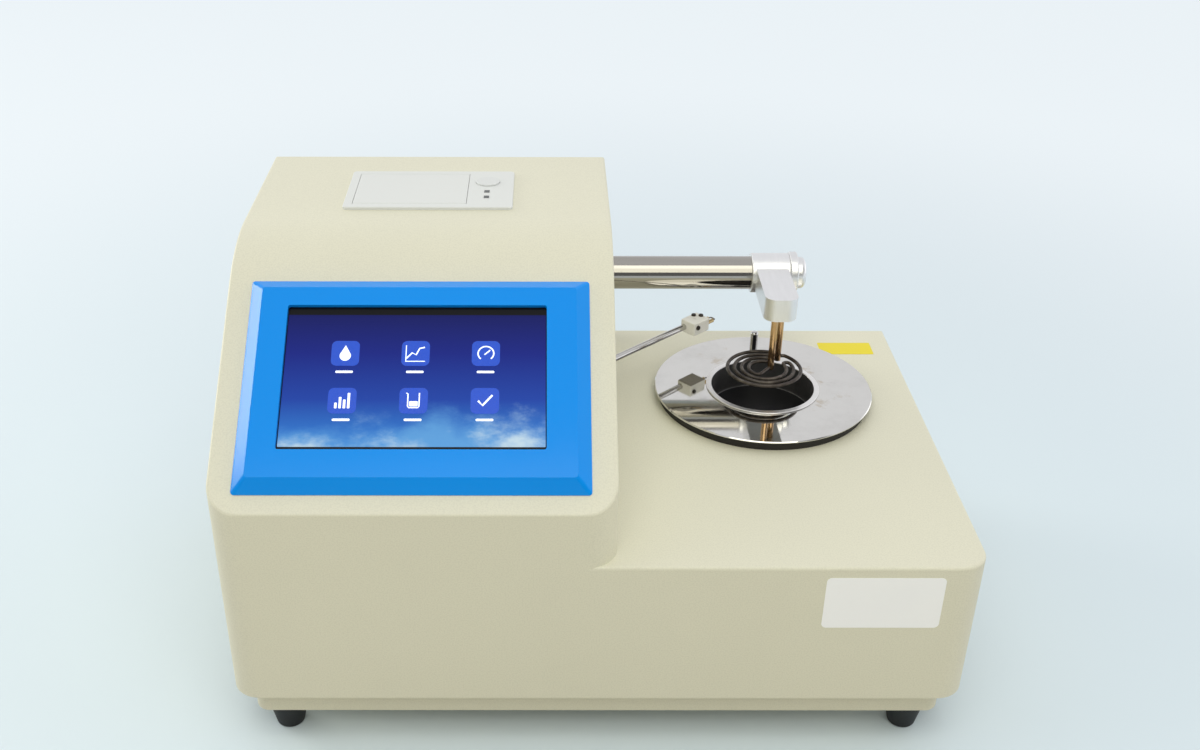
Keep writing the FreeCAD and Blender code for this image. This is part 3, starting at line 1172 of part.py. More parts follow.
def coil_path():
    """Edges of the whole coil, from the right rod's side to the left rod's side."""
    centre = Vector(WELL_X, WELL_Y, COIL_Z)
    (left_x, left_y), (right_x, right_y) = rod_places()
    foot = Vector(right_x, right_y, COIL_Z) - centre
    angle = math.degrees(math.atan2(foot.y, foot.x))
    start = foot.Length + ROD_RADIUS
    reach = start + COIL_LEAD_STUB
    bend = (COIL_OUTER_RADIUS ** 2 - reach ** 2) / (2 * COIL_OUTER_RADIUS)
    turned = math.degrees(math.atan2(bend, reach))
    edges = [line_edge(centre + along(angle) * start, centre + along(angle) * reach),
             arc_edge(centre + along(angle) * reach + along(angle - QUARTER_TURN) * bend, bend,
                      angle + QUARTER_TURN, -QUARTER_TURN - turned)]
    radius = COIL_OUTER_RADIUS
    at = angle - turned
    way = -1
    for hairpin in COIL_HAIRPIN_ANGLES:
        end = hairpin if way < 0 else hairpin + FULL_TURN
        edges += ring_edges(centre, radius, at if way > 0 else at + FULL_TURN, end)
        middle = centre + along(hairpin) * (radius - COIL_PITCH / 2)
        edges.append(arc_edge(middle, COIL_PITCH / 2, hairpin, HALF_TURN * way))
        radius -= COIL_PITCH
        at = hairpin
        way = -way
    edges += ring_edges(centre, radius, at, COIL_BAR_ANGLE)
    return edges + coil_bar(centre, radius, Vector(left_x, left_y, COIL_Z))


def coil_bar(centre, radius, foot):
    """Tight bend at the inner ring's end and the straight bar to the left rod."""
    bend = COIL_BAR_BEND_RADIUS
    middle = centre + along(COIL_BAR_ANGLE) * (radius - bend)
    gap = foot - middle
    leave = math.degrees(math.atan2(gap.y, gap.x) - math.acos(bend / gap.Length))
    bar_start = middle + along(leave) * bend
    way = foot - bar_start
    way.normalize()
    return [arc_edge(middle, bend, COIL_BAR_ANGLE, leave + FULL_TURN - COIL_BAR_ANGLE),
            line_edge(bar_start, foot - way * ROD_RADIUS)]


def least_gap(edges, wire_radius, spacing):
    """Least clear gap between stretches of the wire that are not neighbours."""
    points = []
    along = 0.0
    for edge in edges:
        count = max(2, int(edge.Length / spacing))
        run = edge.discretize(count)
        for i, point in enumerate(run):
            points.append((along + edge.Length * i / (count - 1), point))
        along += edge.Length
    apart = math.pi * wire_radius * 2
    least = min(a[1].distanceToPoint(b[1]) for i, a in enumerate(points) for b in points[i + 1:]
                if b[0] - a[0] > apart)
    return least - 2 * wire_radius


def heating_coil():
    edges = coil_path()
    path = Part.Wire(edges)
    start = edges[0].Vertexes[0].Point
    section = Part.Wire(Part.makeCircle(COIL_WIRE_RADIUS, start, edges[0].tangentAt(edges[0].FirstParameter)))
    tube = path.makePipeShell([section], True, False)
    whole = math.pi * COIL_WIRE_RADIUS ** 2 * path.Length
    print("coil: length %.1f, volume over section times length %.4f, least gap to itself %.2f"
          % (path.Length, tube.Volume / whole, least_gap(edges, COIL_WIRE_RADIUS, COIL_WIRE_RADIUS / 2)))
    return tube


def flange_bearing(x, way, length):
    """Bearing bush for the arm tube: flange at x, sleeve running on along way."""
    flange = Part.makeCylinder(BEARING_FLANGE_RADIUS, BEARING_FLANGE, Vector(x, ARM_Y, ARM_Z), way)
    sleeve = Part.makeCylinder(BEARING_SLEEVE_RADIUS, length, Vector(x, ARM_Y, ARM_Z), way)
    start = Vector(x, ARM_Y, ARM_Z) - way * CUT_OVERRUN
    bore = Part.makeCylinder(ARM_TUBE_RADIUS + RUNNING_CLEARANCE, length + 2 * CUT_OVERRUN, start, way)
    return flange.fuse(sleeve).cut(bore)


def arm_bearings():
    """Two bushes of the arm tube, in the tower's right wall and in the lift stand."""
    length = BEARING_FLANGE + SHEET
    wall = flange_bearing(X_TOWER - SHEET - BEARING_FLANGE, RIGHT, length)
    return group([wall, flange_bearing(STAND_X + BEARING_FLANGE, -RIGHT, length)])


def arm_collar():
    x1 = STAND_X - SHEET - COLLAR_GAP
    ring = rod_x(ARM_Y, ARM_Z, x1 - COLLAR_LENGTH, x1, COLLAR_RADIUS)
    return ring.cut(rod_x(ARM_Y, ARM_Z, x1 - COLLAR_LENGTH - CUT_OVERRUN, x1 + CUT_OVERRUN,
                          ARM_TUBE_RADIUS + FIT_CLEARANCE))


def involute(angle):
    return math.tan(angle) - angle


def gear_outline(teeth, turn):
    """Outline of a spur gear with involute flanks; turn puts a tooth at that angle."""
    pitch = GEAR_MODULE * teeth / 2
    base = pitch * math.cos(math.radians(GEAR_PRESSURE_ANGLE))
    tip = pitch + GEAR_MODULE * GEAR_ADDENDUM_SHARE
    root = pitch - GEAR_MODULE * GEAR_DEDENDUM_SHARE
    half_tooth = math.pi / (2 * teeth) - GEAR_BACKLASH / (2 * pitch)
    half_tooth += involute(math.radians(GEAR_PRESSURE_ANGLE))
    radii = [base + (tip - base) * i / FLANK_STEPS for i in range(FLANK_STEPS + 1)]
    flank = [(root, half_tooth)] + [(r, half_tooth - involute(math.acos(base / r))) for r in radii]
    points = []
    for tooth in range(teeth):
        middle = 2 * math.pi * tooth / teeth + turn
        for r, half in flank:
            points.append((r * math.cos(middle - half), r * math.sin(middle - half)))
        for r, half in reversed(flank):
            points.append((r * math.cos(middle + half), r * math.sin(middle + half)))
    return points


def spur_gear(teeth, turn, x, y, z, width):
    corners = [Vector(x, y + u, z + v) for u, v in gear_outline(teeth, turn)]
    return Part.Face(Part.makePolygon(corners + corners[:1])).extrude(RIGHT * width)


def arm_gear():
    """Driven gear on the arm tube, with a tooth straight down at rest."""
    gear = spur_gear(GEAR_TEETH, -math.pi / 2, GEAR_X, ARM_Y, ARM_Z, GEAR_WIDTH)
    hub = rod_x(ARM_Y, ARM_Z, GEAR_X, GEAR_X + GEAR_WIDTH + GEAR_HUB_LENGTH, GEAR_HUB_RADIUS)
    bore = rod_x(ARM_Y, ARM_Z, GEAR_X - CUT_OVERRUN, GEAR_X + GEAR_WIDTH + GEAR_HUB_LENGTH + CUT_OVERRUN,
                 ARM_TUBE_RADIUS + FIT_CLEARANCE)
    return gear.fuse(hub).cut(bore)


def pinion_shaft():
    """Driving gear in one piece with the motor's shaft, with a gap straight up at rest."""
    x = GEAR_X - (PINION_WIDTH - GEAR_WIDTH) / 2
    gear = spur_gear(PINION_TEETH, math.pi / 2 + math.pi / PINION_TEETH, x, ARM_Y, PINION_Z, PINION_WIDTH)
    shaft = rod_x(ARM_Y, PINION_Z, STAND_X - SHEET - LIFT_SHAFT_DEPTH, x + PINION_WIDTH + LIFT_SHAFT_RADIUS,
                  LIFT_SHAFT_RADIUS)
    return gear.fuse(shaft)


def lift_motor():
    """Round gear motor on the stand, with a bore for its shaft."""
    x1 = STAND_X - SHEET
    body = rod_x(ARM_Y, PINION_Z, x1 - LIFT_MOTOR_LENGTH, x1, LIFT_MOTOR_RADIUS)
    return body.cut(rod_x(ARM_Y, PINION_Z, x1 - LIFT_SHAFT_DEPTH - RUNNING_CLEARANCE, x1 + CUT_OVERRUN,
                          LIFT_SHAFT_RADIUS + RUNNING_CLEARANCE))


def lift_stand():
    """Upright plate with a foot on the tray's floor; it carries the arm's drive."""
    y0, y1 = ARM_Y - STAND_WIDTH / 2, ARM_Y + STAND_WIDTH / 2
    plate = box(STAND_X - SHEET, STAND_X, y0, y1, FLOOR_Z, ARM_Z + STAND_ABOVE_ARM)
    foot = box(STAND_X - SHEET, STAND_X + STAND_FOOT, y0, y1, FLOOR_Z, FLOOR_Z + SHEET)
    low, high = STAND_X - SHEET - CUT_OVERRUN, STAND_X + CUT_OVERRUN
    cuts = [rod_x(ARM_Y, ARM_Z, low, high, BEARING_SLEEVE_RADIUS + FIT_CLEARANCE),
            rod_x(ARM_Y, PINION_Z, low, high, LIFT_SHAFT_RADIUS + HOLE_CLEARANCE)]
    cuts += [rod_z(x, y, TRAY_Z, FLOOR_Z + SHEET + CUT_OVERRUN, M4_RADIUS + RUNNING_CLEARANCE)
             for x, y in stand_screw_places()]
    return fused([plate, foot]).cut(cuts)


def stand_screw_places():
    """Screws through the feet of the lift stand and of the swing stand."""
    lift_x = STAND_X + STAND_FOOT / 2
    reach = STAND_WIDTH * STAND_SCREW_SHARE
    swing_x = PIVOT_X - SWING_MOTOR_SIZE / 2 - SHELF_MARGIN - SHEET - SWING_FOOT / 2
    swing_reach = SWING_MOTOR_SIZE * STAND_SCREW_SHARE
    return [(lift_x, ARM_Y - reach), (lift_x, ARM_Y + reach),
            (swing_x, PIVOT_Y - swing_reach), (swing_x, PIVOT_Y + swing_reach)]


def swing_stand():
    """Z-shaped stand: foot on the tray's floor, upright and a shelf for the swing motor."""
    x1 = PIVOT_X + SWING_MOTOR_SIZE / 2 + SHELF_MARGIN
    x0 = PIVOT_X - SWING_MOTOR_SIZE / 2 - SHELF_MARGIN
    left = x0 - SHEET - SWING_FOOT
    points = [(left, FLOOR_Z), (x0, FLOOR_Z), (x0, SHELF_Z - SHEET), (x1, SHELF_Z - SHEET),
              (x1, SHELF_Z), (x0 - SHEET, SHELF_Z), (x0 - SHEET, FLOOR_Z + SHEET), (left, FLOOR_Z + SHEET)]
    half = SWING_MOTOR_SIZE / 2 + SHELF_MARGIN
    stand = prism(points, [0] * len(points), in_xz(PIVOT_Y - half), BACK * (2 * half))
    hole = rod_z(PIVOT_X, PIVOT_Y, SHELF_Z - SHEET - CUT_OVERRUN, SHELF_Z + CUT_OVERRUN,
                 SWING_SHAFT_RADIUS + HOLE_CLEARANCE)
    screws = [rod_z(x, y, TRAY_Z, FLOOR_Z + SHEET + CUT_OVERRUN, M4_RADIUS + RUNNING_CLEARANCE)
              for x, y in stand_screw_places()]
    return stand.cut([hole] + screws)


def swing_motor():
    """Square step motor hung under the shelf."""
    half = SWING_MOTOR_SIZE / 2
    top = SHELF_Z - SHEET
    body = round_box(PIVOT_X - half, PIVOT_X + half, PIVOT_Y - half, PIVOT_Y + half,
                     top - SWING_MOTOR_HEIGHT, top, SWING_MOTOR_CORNER)
    return body.cut(rod_z(PIVOT_X, PIVOT_Y, top - SWING_SHAFT_DEPTH - RUNNING_CLEARANCE, top + CUT_OVERRUN,
                          SWING_SHAFT_RADIUS + RUNNING_CLEARANCE))


def swing_shaft():
    return rod_z(PIVOT_X, PIVOT_Y, SHELF_Z - SHEET - SWING_SHAFT_DEPTH,
                 IGNITER_Z + IGNITER_HUB_HEIGHT / 2, SWING_SHAFT_RADIUS)


def swung(shape):
    """Move a shape from the igniter's own axes (along the rod, across, up) to its rest place."""
    moved = shape.copy()
    moved.Placement = Placement(Vector(PIVOT_X, PIVOT_Y, IGNITER_Z), Rotation(UP, IGNITER_REST_ANGLE))
    return moved


def igniter_hub():
    half = IGNITER_HUB_HEIGHT / 2
    hub = rod_z(0, 0, -half, half, IGNITER_HUB_RADIUS)
    shaft = rod_z(0, 0, -half - CUT_OVERRUN, half + CUT_OVERRUN, SWING_SHAFT_RADIUS + FIT_CLEARANCE)
    socket = rod_x(0, 0, ROD_FROM_PIVOT - FIT_CLEARANCE, IGNITER_HUB_RADIUS + CUT_OVERRUN,
                   IGNITER_ROD_RADIUS + FIT_CLEARANCE)
    return swung(hub.cut([shaft, socket]))


def igniter_rod():
    return swung(rod_x(0, 0, ROD_FROM_PIVOT, BLOCK_START + BLOCK_ROD_DEPTH, IGNITER_ROD_RADIUS))


def block_screw_seats():
    """Head seats on the ceramic block: two on its top, one on its front side."""
    low = BLOCK_LIFT - BLOCK_HEIGHT / 2
    side = BLOCK_SHIFT - BLOCK_WIDTH / 2
    seats = [(Vector(BLOCK_START + BLOCK_LENGTH * along, side + BLOCK_WIDTH * across, low + BLOCK_HEIGHT),
              -UP) for along, across in BLOCK_TOP_SCREW_SHARES]
    along, rise = BLOCK_SIDE_SCREW_SHARES
    seats.append((Vector(BLOCK_START + BLOCK_LENGTH * along, side, low + BLOCK_HEIGHT * rise), BACK))
    return seats


def terminal_places():
    return [BLOCK_SHIFT - BLOCK_WIDTH / 2 + BLOCK_WIDTH * share for share in TERMINAL_SHARES]


def igniter_block():
    """White ceramic block on the rod's end."""
    low = BLOCK_LIFT - BLOCK_HEIGHT / 2
    half = BLOCK_WIDTH / 2
    x1 = BLOCK_START + BLOCK_LENGTH
    block = box(BLOCK_START, x1, BLOCK_SHIFT - half, BLOCK_SHIFT + half, low, low + BLOCK_HEIGHT)
    block = block.makeFillet(BLOCK_EDGE_RADIUS, block.Edges)
    cuts = [rod_x(0, 0, BLOCK_START - CUT_OVERRUN, BLOCK_START + BLOCK_ROD_DEPTH + FIT_CLEARANCE,
                  IGNITER_ROD_RADIUS + FIT_CLEARANCE)]
    for y in terminal_places():
        cuts.append(rod_x(y, BLOCK_LIFT, x1 - TERMINAL_DEPTH, x1 + CUT_OVERRUN,
                          TERMINAL_RADIUS + FIT_CLEARANCE))
    for seat, way in block_screw_seats():
        cuts.append(Part.makeCylinder(BLOCK_SCREW_RADIUS + FIT_CLEARANCE,
                                      BLOCK_SCREW_REACH + FIT_CLEARANCE, seat, way))
    return swung(block.cut(cuts))


def igniter_screws():
    return swung(group([pan_screw(seat, way, BLOCK_SCREW_RADIUS, BLOCK_SCREW_HEAD_RADIUS,
                                  BLOCK_SCREW_HEAD_HEIGHT, BLOCK_SCREW_REACH)
                        for seat, way in block_screw_seats()]))


def terminal_end():
    return BLOCK_START + BLOCK_LENGTH + TERMINAL_REACH


def igniter_terminals():
    """Two brass terminals in the block's end, each with a cross hole for the hot wire."""
    x0 = BLOCK_START + BLOCK_LENGTH - TERMINAL_DEPTH + FIT_CLEARANCE
    return swung(group([rod_x(y, BLOCK_LIFT, x0, terminal_end(), TERMINAL_RADIUS)
                        for y in terminal_places()]))


def igniter_wire():
    """Hot wire loop between the terminals; its outer run stands at the igniter's radius."""
    bend = HOT_WIRE_BEND_RADIUS
    far, near = terminal_places()
    level = Vector(0, 0, BLOCK_LIFT)
    reach = IGNITER_RADIUS + HOT_WIRE_RADIUS
    start = level + Vector(terminal_end(), near, 0)
    turn = level + Vector(reach - bend, near, 0)
    last = level + Vector(reach - bend, far, 0)
    edges = [line_edge(start, turn),
             arc_edge(turn + BACK * bend, bend, -QUARTER_TURN, QUARTER_TURN),
             line_edge(level + Vector(reach, near + bend, 0), level + Vector(reach, far - bend, 0)),
             arc_edge(last - BACK * bend, bend, 0, QUARTER_TURN),
             line_edge(last, level + Vector(terminal_end(), far, 0))]
    section = Part.Wire(Part.makeCircle(HOT_WIRE_RADIUS, start, RIGHT))
    return swung(Part.Wire(edges).makePipeShell([section], True, False))


def main_board():
    """Control board with its larger components."""
    low = FLOOR_Z + BOARD_POST_HEIGHT
    top = low + BOARD_THICKNESS
    pieces = [box(BOARD_X, BOARD_X + BOARD_WIDTH, BOARD_Y, BOARD_Y + BOARD_DEPTH, low, top)]
    for across, along, wide, deep, high in BOARD_CHIP_SHARES:
        x = BOARD_X + BOARD_WIDTH * across
        y = BOARD_Y + BOARD_DEPTH * along
        x1 = x + BOARD_WIDTH * wide
        pieces.append(box(x, x1, y, y + BOARD_DEPTH * deep, top, top + BOARD_WIDTH * high))
    return fused(pieces)


def circuit_boards():
    """Main board on the tray's posts and the printer's own board."""
    return group([main_board(), printer_board()])


def power_supply():
    """Boxed supply with a row of vents in its lid."""
    x0 = X_LEFT + SUPPLY_LEFT
    top = FLOOR_Z + SUPPLY_HEIGHT
    case = box(x0, x0 + SUPPLY_WIDTH, SUPPLY_Y, SUPPLY_Y + SUPPLY_DEPTH, FLOOR_Z, top)
    pitch = SUPPLY_WIDTH / (SUPPLY_SLOTS + 1)
    half = SUPPLY_DEPTH * SUPPLY_SLOT_LENGTH_SHARE / 2
    middle = SUPPLY_Y + SUPPLY_DEPTH / 2
    slots = []
    for i in range(SUPPLY_SLOTS):
        x = x0 + pitch * (i + 1) - SUPPLY_SLOT_WIDTH / 2
        slots.append(box(x, x + SUPPLY_SLOT_WIDTH, middle - half, middle + half,
                         top - SHEET, top + CUT_OVERRUN))
    return case.cut(slots)


def fan_frame():
    """Square fan housing behind the vents, with a spider that carries the motor."""
    half = FAN_SIZE / 2
    y0 = PANEL_Y - FAN_DEPTH
    points = rectangle(FAN_X - half, FAN_X + half, FAN_Z - half, FAN_Z + half)
    body = prism(points, [FAN_CORNER_RADIUS] * 4, in_xz(y0), BACK * FAN_DEPTH)
    body = body.cut(rod_y(FAN_X, FAN_Z, y0 - CUT_OVERRUN, PANEL_Y + CUT_OVERRUN, FAN_BORE_RADIUS))
    arm = FAN_SPIDER_WIDTH / 2
    spider = [box(FAN_X - FAN_BORE_RADIUS - arm, FAN_X + FAN_BORE_RADIUS + arm, y0,
                  y0 + FAN_SPIDER_THICKNESS, FAN_Z - arm, FAN_Z + arm),
              box(FAN_X - arm, FAN_X + arm, y0, y0 + FAN_SPIDER_THICKNESS,
                  FAN_Z - FAN_BORE_RADIUS - arm, FAN_Z + FAN_BORE_RADIUS + arm),
              rod_y(FAN_X, FAN_Z, y0, y0 + FAN_SPIDER_THICKNESS, FAN_MOTOR_RADIUS),
              rod_y(FAN_X, FAN_Z, y0, y0 + FAN_DEPTH / 2, FAN_SPINDLE_RADIUS)]
    screws = [rod_y(x, z, PANEL_Y - FAN_DEPTH / 2, PANEL_Y + CUT_OVERRUN, M3_RADIUS + RUNNING_CLEARANCE)
              for x, z in fan_screw_places()]
    return fused([body] + spider).cut(screws)


def fan_rotor():
    """Hub with twisted blades that turns on the frame's spindle."""
    y0 = PANEL_Y - FAN_DEPTH + FAN_SPIDER_THICKNESS + PANEL_GAP
    y1 = PANEL_Y - FAN_END_CLEARANCE
    hub = rod_y(FAN_X, FAN_Z, y0, y1, FAN_HUB_RADIUS)
    depth = y1 - y0
    tip = FAN_BORE_RADIUS - FAN_TIP_CLEARANCE
    blades = []
    for i in range(FAN_BLADES):
        half = depth / 2 / math.cos(math.radians(FAN_BLADE_TWIST))
        blade = Part.makeBox(FAN_BLADE_THICKNESS, 2 * half, tip - FAN_HUB_RADIUS / 2,
                             Vector(-FAN_BLADE_THICKNESS / 2, -half, FAN_HUB_RADIUS / 2))
        blade.rotate(Vector(0, 0, 0), UP, FAN_BLADE_TWIST)
        blade.rotate(Vector(0, 0, 0), BACK, i * FULL_TURN / FAN_BLADES)
        blade.translate(Vector(FAN_X, y0 + depth / 2, FAN_Z))
        blades.append(blade)
    swept = rod_y(FAN_X, FAN_Z, y0, y1, tip)
    rotor = fused([hub] + [blade.common(swept) for blade in blades])
    spindle = rod_y(FAN_X, FAN_Z, y0 - CUT_OVERRUN, PANEL_Y - FAN_DEPTH / 2 + PANEL_GAP,
                    FAN_SPINDLE_RADIUS + RUNNING_CLEARANCE)
    return rotor.cut(spindle)


def inlet_mouth():
    """Socket space of the mains inlet."""
    x = X_LEFT + INLET_FROM_LEFT
    outer = PANEL_Y + SHEET + INLET_FLANGE
    points = rectangle(x - INLET_MOUTH_WIDTH / 2, x + INLET_MOUTH_WIDTH / 2,
                       FITTING_Z - INLET_MOUTH_HEIGHT / 2, FITTING_Z + INLET_MOUTH_HEIGHT / 2)
    return prism(points, [INLET_CORNER_RADIUS] * 4, in_xz(outer - INLET_MOUTH_DEPTH),
                 BACK * (INLET_MOUTH_DEPTH + CUT_OVERRUN))


def mains_inlet():
    """Three-pin socket with a flange outside the panel."""
    x = X_LEFT + INLET_FROM_LEFT
    outer = PANEL_Y + SHEET + INLET_FLANGE
    body = box(x - INLET_WIDTH / 2, x + INLET_WIDTH / 2, PANEL_Y + SHEET - INLET_DEPTH, PANEL_Y + SHEET,
               FITTING_Z - INLET_HEIGHT / 2, FITTING_Z + INLET_HEIGHT / 2)
    edge = INLET_FLANGE
    points = rectangle(x - INLET_WIDTH / 2 - edge, x + INLET_WIDTH / 2 + edge,
                       FITTING_Z - INLET_HEIGHT / 2 - edge, FITTING_Z + INLET_HEIGHT / 2 + edge)
    flange = prism(points, [INLET_CORNER_RADIUS] * 4, in_xz(PANEL_Y + SHEET), BACK * INLET_FLANGE)
    shell = fused([body, flange]).cut(inlet_mouth())
    back = outer - INLET_MOUTH_DEPTH
    pins = []
    for across, rise in ((-1, -1), (0, 1), (1, -1)):
        px = x + across * INLET_PIN_PITCH
        pz = FITTING_Z + rise * INLET_PIN_RISE
        pins.append(box(px - INLET_PIN_WIDTH / 2, px + INLET_PIN_WIDTH / 2, back, outer - INLET_PIN_RECESS,
                        pz - INLET_PIN_HEIGHT / 2, pz + INLET_PIN_HEIGHT / 2))
    return fused([shell] + pins)


def rocker_outline(grow):
    """Side view of the rocker as (y, z) about its pivot: a heel arc and a tilted, dished face."""
    half = SWITCH_HEIGHT / 2 * ROCKER_HEIGHT_SHARE + grow
    front = ROCKER_PIVOT_DEPTH + ROCKER_LIFT + grow
    heel = -ROCKER_HEEL_DEPTH - grow
    return [(heel, -half / 2), (front, -half), (front - ROCKER_LIFT, 0), (front, half), (heel, half / 2)]


def rocker():
    """Power rocker, tilted to its off side at rest."""
    x = X_LEFT + SWITCH_FROM_LEFT
    half = SWITCH_WIDTH / 2 - SWITCH_BORDER - ROCKER_SIDE_CLEARANCE
    points = rocker_outline(0)
    key = prism(points, [0] * len(points), in_yz(-half), RIGHT * (2 * half))
    reach = half + ROCKER_SIDE_CLEARANCE + SWITCH_BORDER / 2
    key = key.fuse(rod_x(0, 0, -reach, reach, ROCKER_PIN_RADIUS))
    key.rotate(Vector(0, 0, 0), RIGHT, -ROCKER_TILT)
    key.translate(Vector(x, PANEL_Y + SHEET - ROCKER_PIVOT_DEPTH, FITTING_Z))
    return key


def switch_housing():
    """Switch body with a flange outside the panel and a well for the rocker."""
    x = X_LEFT + SWITCH_FROM_LEFT
    face = PANEL_Y + SHEET
    edge = SWITCH_FLANGE
    body = box(x - SWITCH_WIDTH / 2, x + SWITCH_WIDTH / 2, face - SWITCH_DEPTH, face,
               FITTING_Z - SWITCH_HEIGHT / 2, FITTING_Z + SWITCH_HEIGHT / 2)
    points = rectangle(x - SWITCH_WIDTH / 2 - edge, x + SWITCH_WIDTH / 2 + edge,
                       FITTING_Z - SWITCH_HEIGHT / 2 - edge, FITTING_Z + SWITCH_HEIGHT / 2 + edge)
    flange = prism(points, [SWITCH_FLANGE / 2] * 4, in_xz(face), BACK * SWITCH_FLANGE)
    half = SWITCH_WIDTH / 2 - SWITCH_BORDER
    pivot_y = face - ROCKER_PIVOT_DEPTH
    well = box(x - half, x + half, pivot_y - ROCKER_HEEL_DEPTH - 2 * ROCKER_LIFT, face + CUT_OVERRUN,
               FITTING_Z - SWITCH_HEIGHT / 2 + SWITCH_BORDER / 2,
               FITTING_Z + SWITCH_HEIGHT / 2 - SWITCH_BORDER / 2)
    reach = half + SWITCH_BORDER / 2 + RUNNING_CLEARANCE
    pin = rod_x(pivot_y, FITTING_Z, x - reach, x + reach, ROCKER_PIN_RADIUS + RUNNING_CLEARANCE)
    return fused([body, flange]).cut([well, pin])


def front_label():
    """Bare white plate on the front."""
    x1 = X_RIGHT - FRONT_LABEL_FROM_RIGHT
    z0 = CASE_Z + FRONT_LABEL_ABOVE_CASE
    points = rectangle(x1 - FRONT_LABEL_WIDTH, x1, z0, z0 + FRONT_LABEL_HEIGHT)
    return prism(points, [FRONT_LABEL_CORNER] * 4, in_xz(Y_FRONT - LABEL_THICKNESS), BACK * LABEL_THICKNESS)


def deck_label():
    """Bare yellow plate on the deck behind the heating plate, clear of its rim."""
    x1 = X_RIGHT - DECK_LABEL_FROM_RIGHT
    x0 = x1 - DECK_LABEL_WIDTH
    bearing = math.radians(DECK_LABEL_BEARING)
    reach = PLATE_RADIUS + DECK_LABEL_FROM_PLATE
    y0 = WELL_Y + (reach - (x0 - WELL_X) * math.cos(bearing)) / math.sin(bearing)
    return round_box(x0, x1, y0, y0 + DECK_LABEL_DEPTH, DECK_Z, DECK_Z + LABEL_THICKNESS,
                     DECK_LABEL_CORNER)


PIECES = (tower_wrap, tower_left_side, tower_right_side, deck_plate, deck_skirt, rear_panel,
          case_screws, base_tray, tray_posts, rubber_feet, base_screws,
          screen_bezel, touch_glass, display_module, display_straps, printer_frame, printer_lamps,
          feed_button, printer_door, platen_roller, print_head, paper_roll,
          heating_well, heat_plate, sensor_pin, plate_spacer, heater_element, insulation_cup,
          heater_cover, arm_tube, arm_head, grub_screw, arm_end_cap, rod_insulators, coil_rods,
          heating_coil, arm_bearings, arm_collar, arm_gear, pinion_shaft,
          lift_motor, lift_stand, swing_stand, swing_motor, swing_shaft,
          igniter_hub, igniter_rod, igniter_block, igniter_screws, igniter_terminals,
          igniter_wire, circuit_boards, power_supply, fan_frame, fan_rotor, mains_inlet,
          switch_housing, rocker, front_label, deck_label)

os.makedirs("parts", exist_ok=True)
for piece in PIECES:
    shape = piece()
    shape.exportStep("parts/%s.step" % piece.__name__)
    sound = shape.isValid() and all(solid.Volume > 0 for solid in shape.Solids)
    print(piece.__name__, len(shape.Solids), "sound" if sound else "FAULTY")
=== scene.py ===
"""Finishes and fine pieces of an open-cup flash point tester, around its fixed solids."""

import math

import bmesh
import bpy
from mathutils import Matrix, Vector


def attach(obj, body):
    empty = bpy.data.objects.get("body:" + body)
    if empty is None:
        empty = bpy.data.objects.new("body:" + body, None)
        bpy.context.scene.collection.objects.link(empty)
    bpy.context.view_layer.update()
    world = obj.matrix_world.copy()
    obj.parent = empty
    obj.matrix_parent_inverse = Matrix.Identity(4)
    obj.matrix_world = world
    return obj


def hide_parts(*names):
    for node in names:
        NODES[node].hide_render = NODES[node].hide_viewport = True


bl_info = {
    "name": "Flash Point Tester",
    "version": (1, 0, 0),
    "blender": (4, 5, 0),
    "location": "3D View > Sidebar > Tester",
    "description": "Finishes and fine pieces of an open-cup flash point tester",
    "category": "Object",
}

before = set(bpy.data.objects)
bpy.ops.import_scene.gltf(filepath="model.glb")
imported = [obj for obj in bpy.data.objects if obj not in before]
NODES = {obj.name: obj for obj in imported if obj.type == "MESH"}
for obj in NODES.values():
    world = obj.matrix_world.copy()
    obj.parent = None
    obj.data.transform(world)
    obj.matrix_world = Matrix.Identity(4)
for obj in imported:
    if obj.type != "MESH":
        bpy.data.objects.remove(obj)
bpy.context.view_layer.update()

# Places in the row's frame, in metres
SLOPE_FOOT = Vector((0.0, -0.150, 0.1756))
SLOPE_ANGLE = math.radians(34)
SLOPE = Matrix.Translation(SLOPE_FOOT) @ Matrix.Rotation(SLOPE_ANGLE, 4, "X")
WELL_X = 0.1185
WELL_Y = 0.0498
SENSOR_PIN = (WELL_X - 0.0012, WELL_Y + 0.0432)
COIL_Z = 0.1608
RIGHT_ROD = Vector((0.1300, 0.0653, COIL_Z))
LEFT_ROD = Vector((0.1233, 0.0524, COIL_Z))
ROD_RADIUS = 0.00225
ARM_Y = 0.110
ARM_Z = 0.2058
FOOT_X = 0.1955
FOOT_Y = 0.1255
BACK_FACE = 0.144
REAR_SCREWS = ((0.218, 0.0895), (0.002, 0.201), (-0.218, 0.07376), (-0.16568, 0.047),
               (-0.1916, 0.270), (-0.218, 0.24324), (0.16568, 0.047), (-0.0244, 0.270),
               (-0.145, 0.153), (-0.145, 0.185), (-0.113, 0.153), (-0.113, 0.185))

# Heights and radii over which one finish of the well or the plate passes into the next
LIP_FOOT = (0.1470, 0.1473)
BORE_EDGE = (0.0346, 0.035)
STAIN_EDGE = (0.044, 0.07)

# How far a face has to look down before it counts as an underside
DOWNWARD = (0.2, 0.8)

# The lit picture in the touch glass, its tiles and its signs; shares are of picture or tile
PICTURE_SIDE = 0.0046
PICTURE_ABOVE = 0.0094
PICTURE_BELOW = 0.0066
PICTURE_CORNER = 0.0004
PICTURE_SUNK = 0.0002
PICTURE_RAISED = 0.0001
TILE_ACROSS_SHARE = 0.27
TILE_DOWN_SHARE = 0.36
TILE_RAISE_SHARE = 0.2
TILE_CORNER_SHARE = 0.2
TILE_THICKNESS = 0.00008
SIGN_THICKNESS = 0.00006
DASH_DROP_SHARE = 0.74
DASH_SHARES = (0.62, 0.09, 0.04)

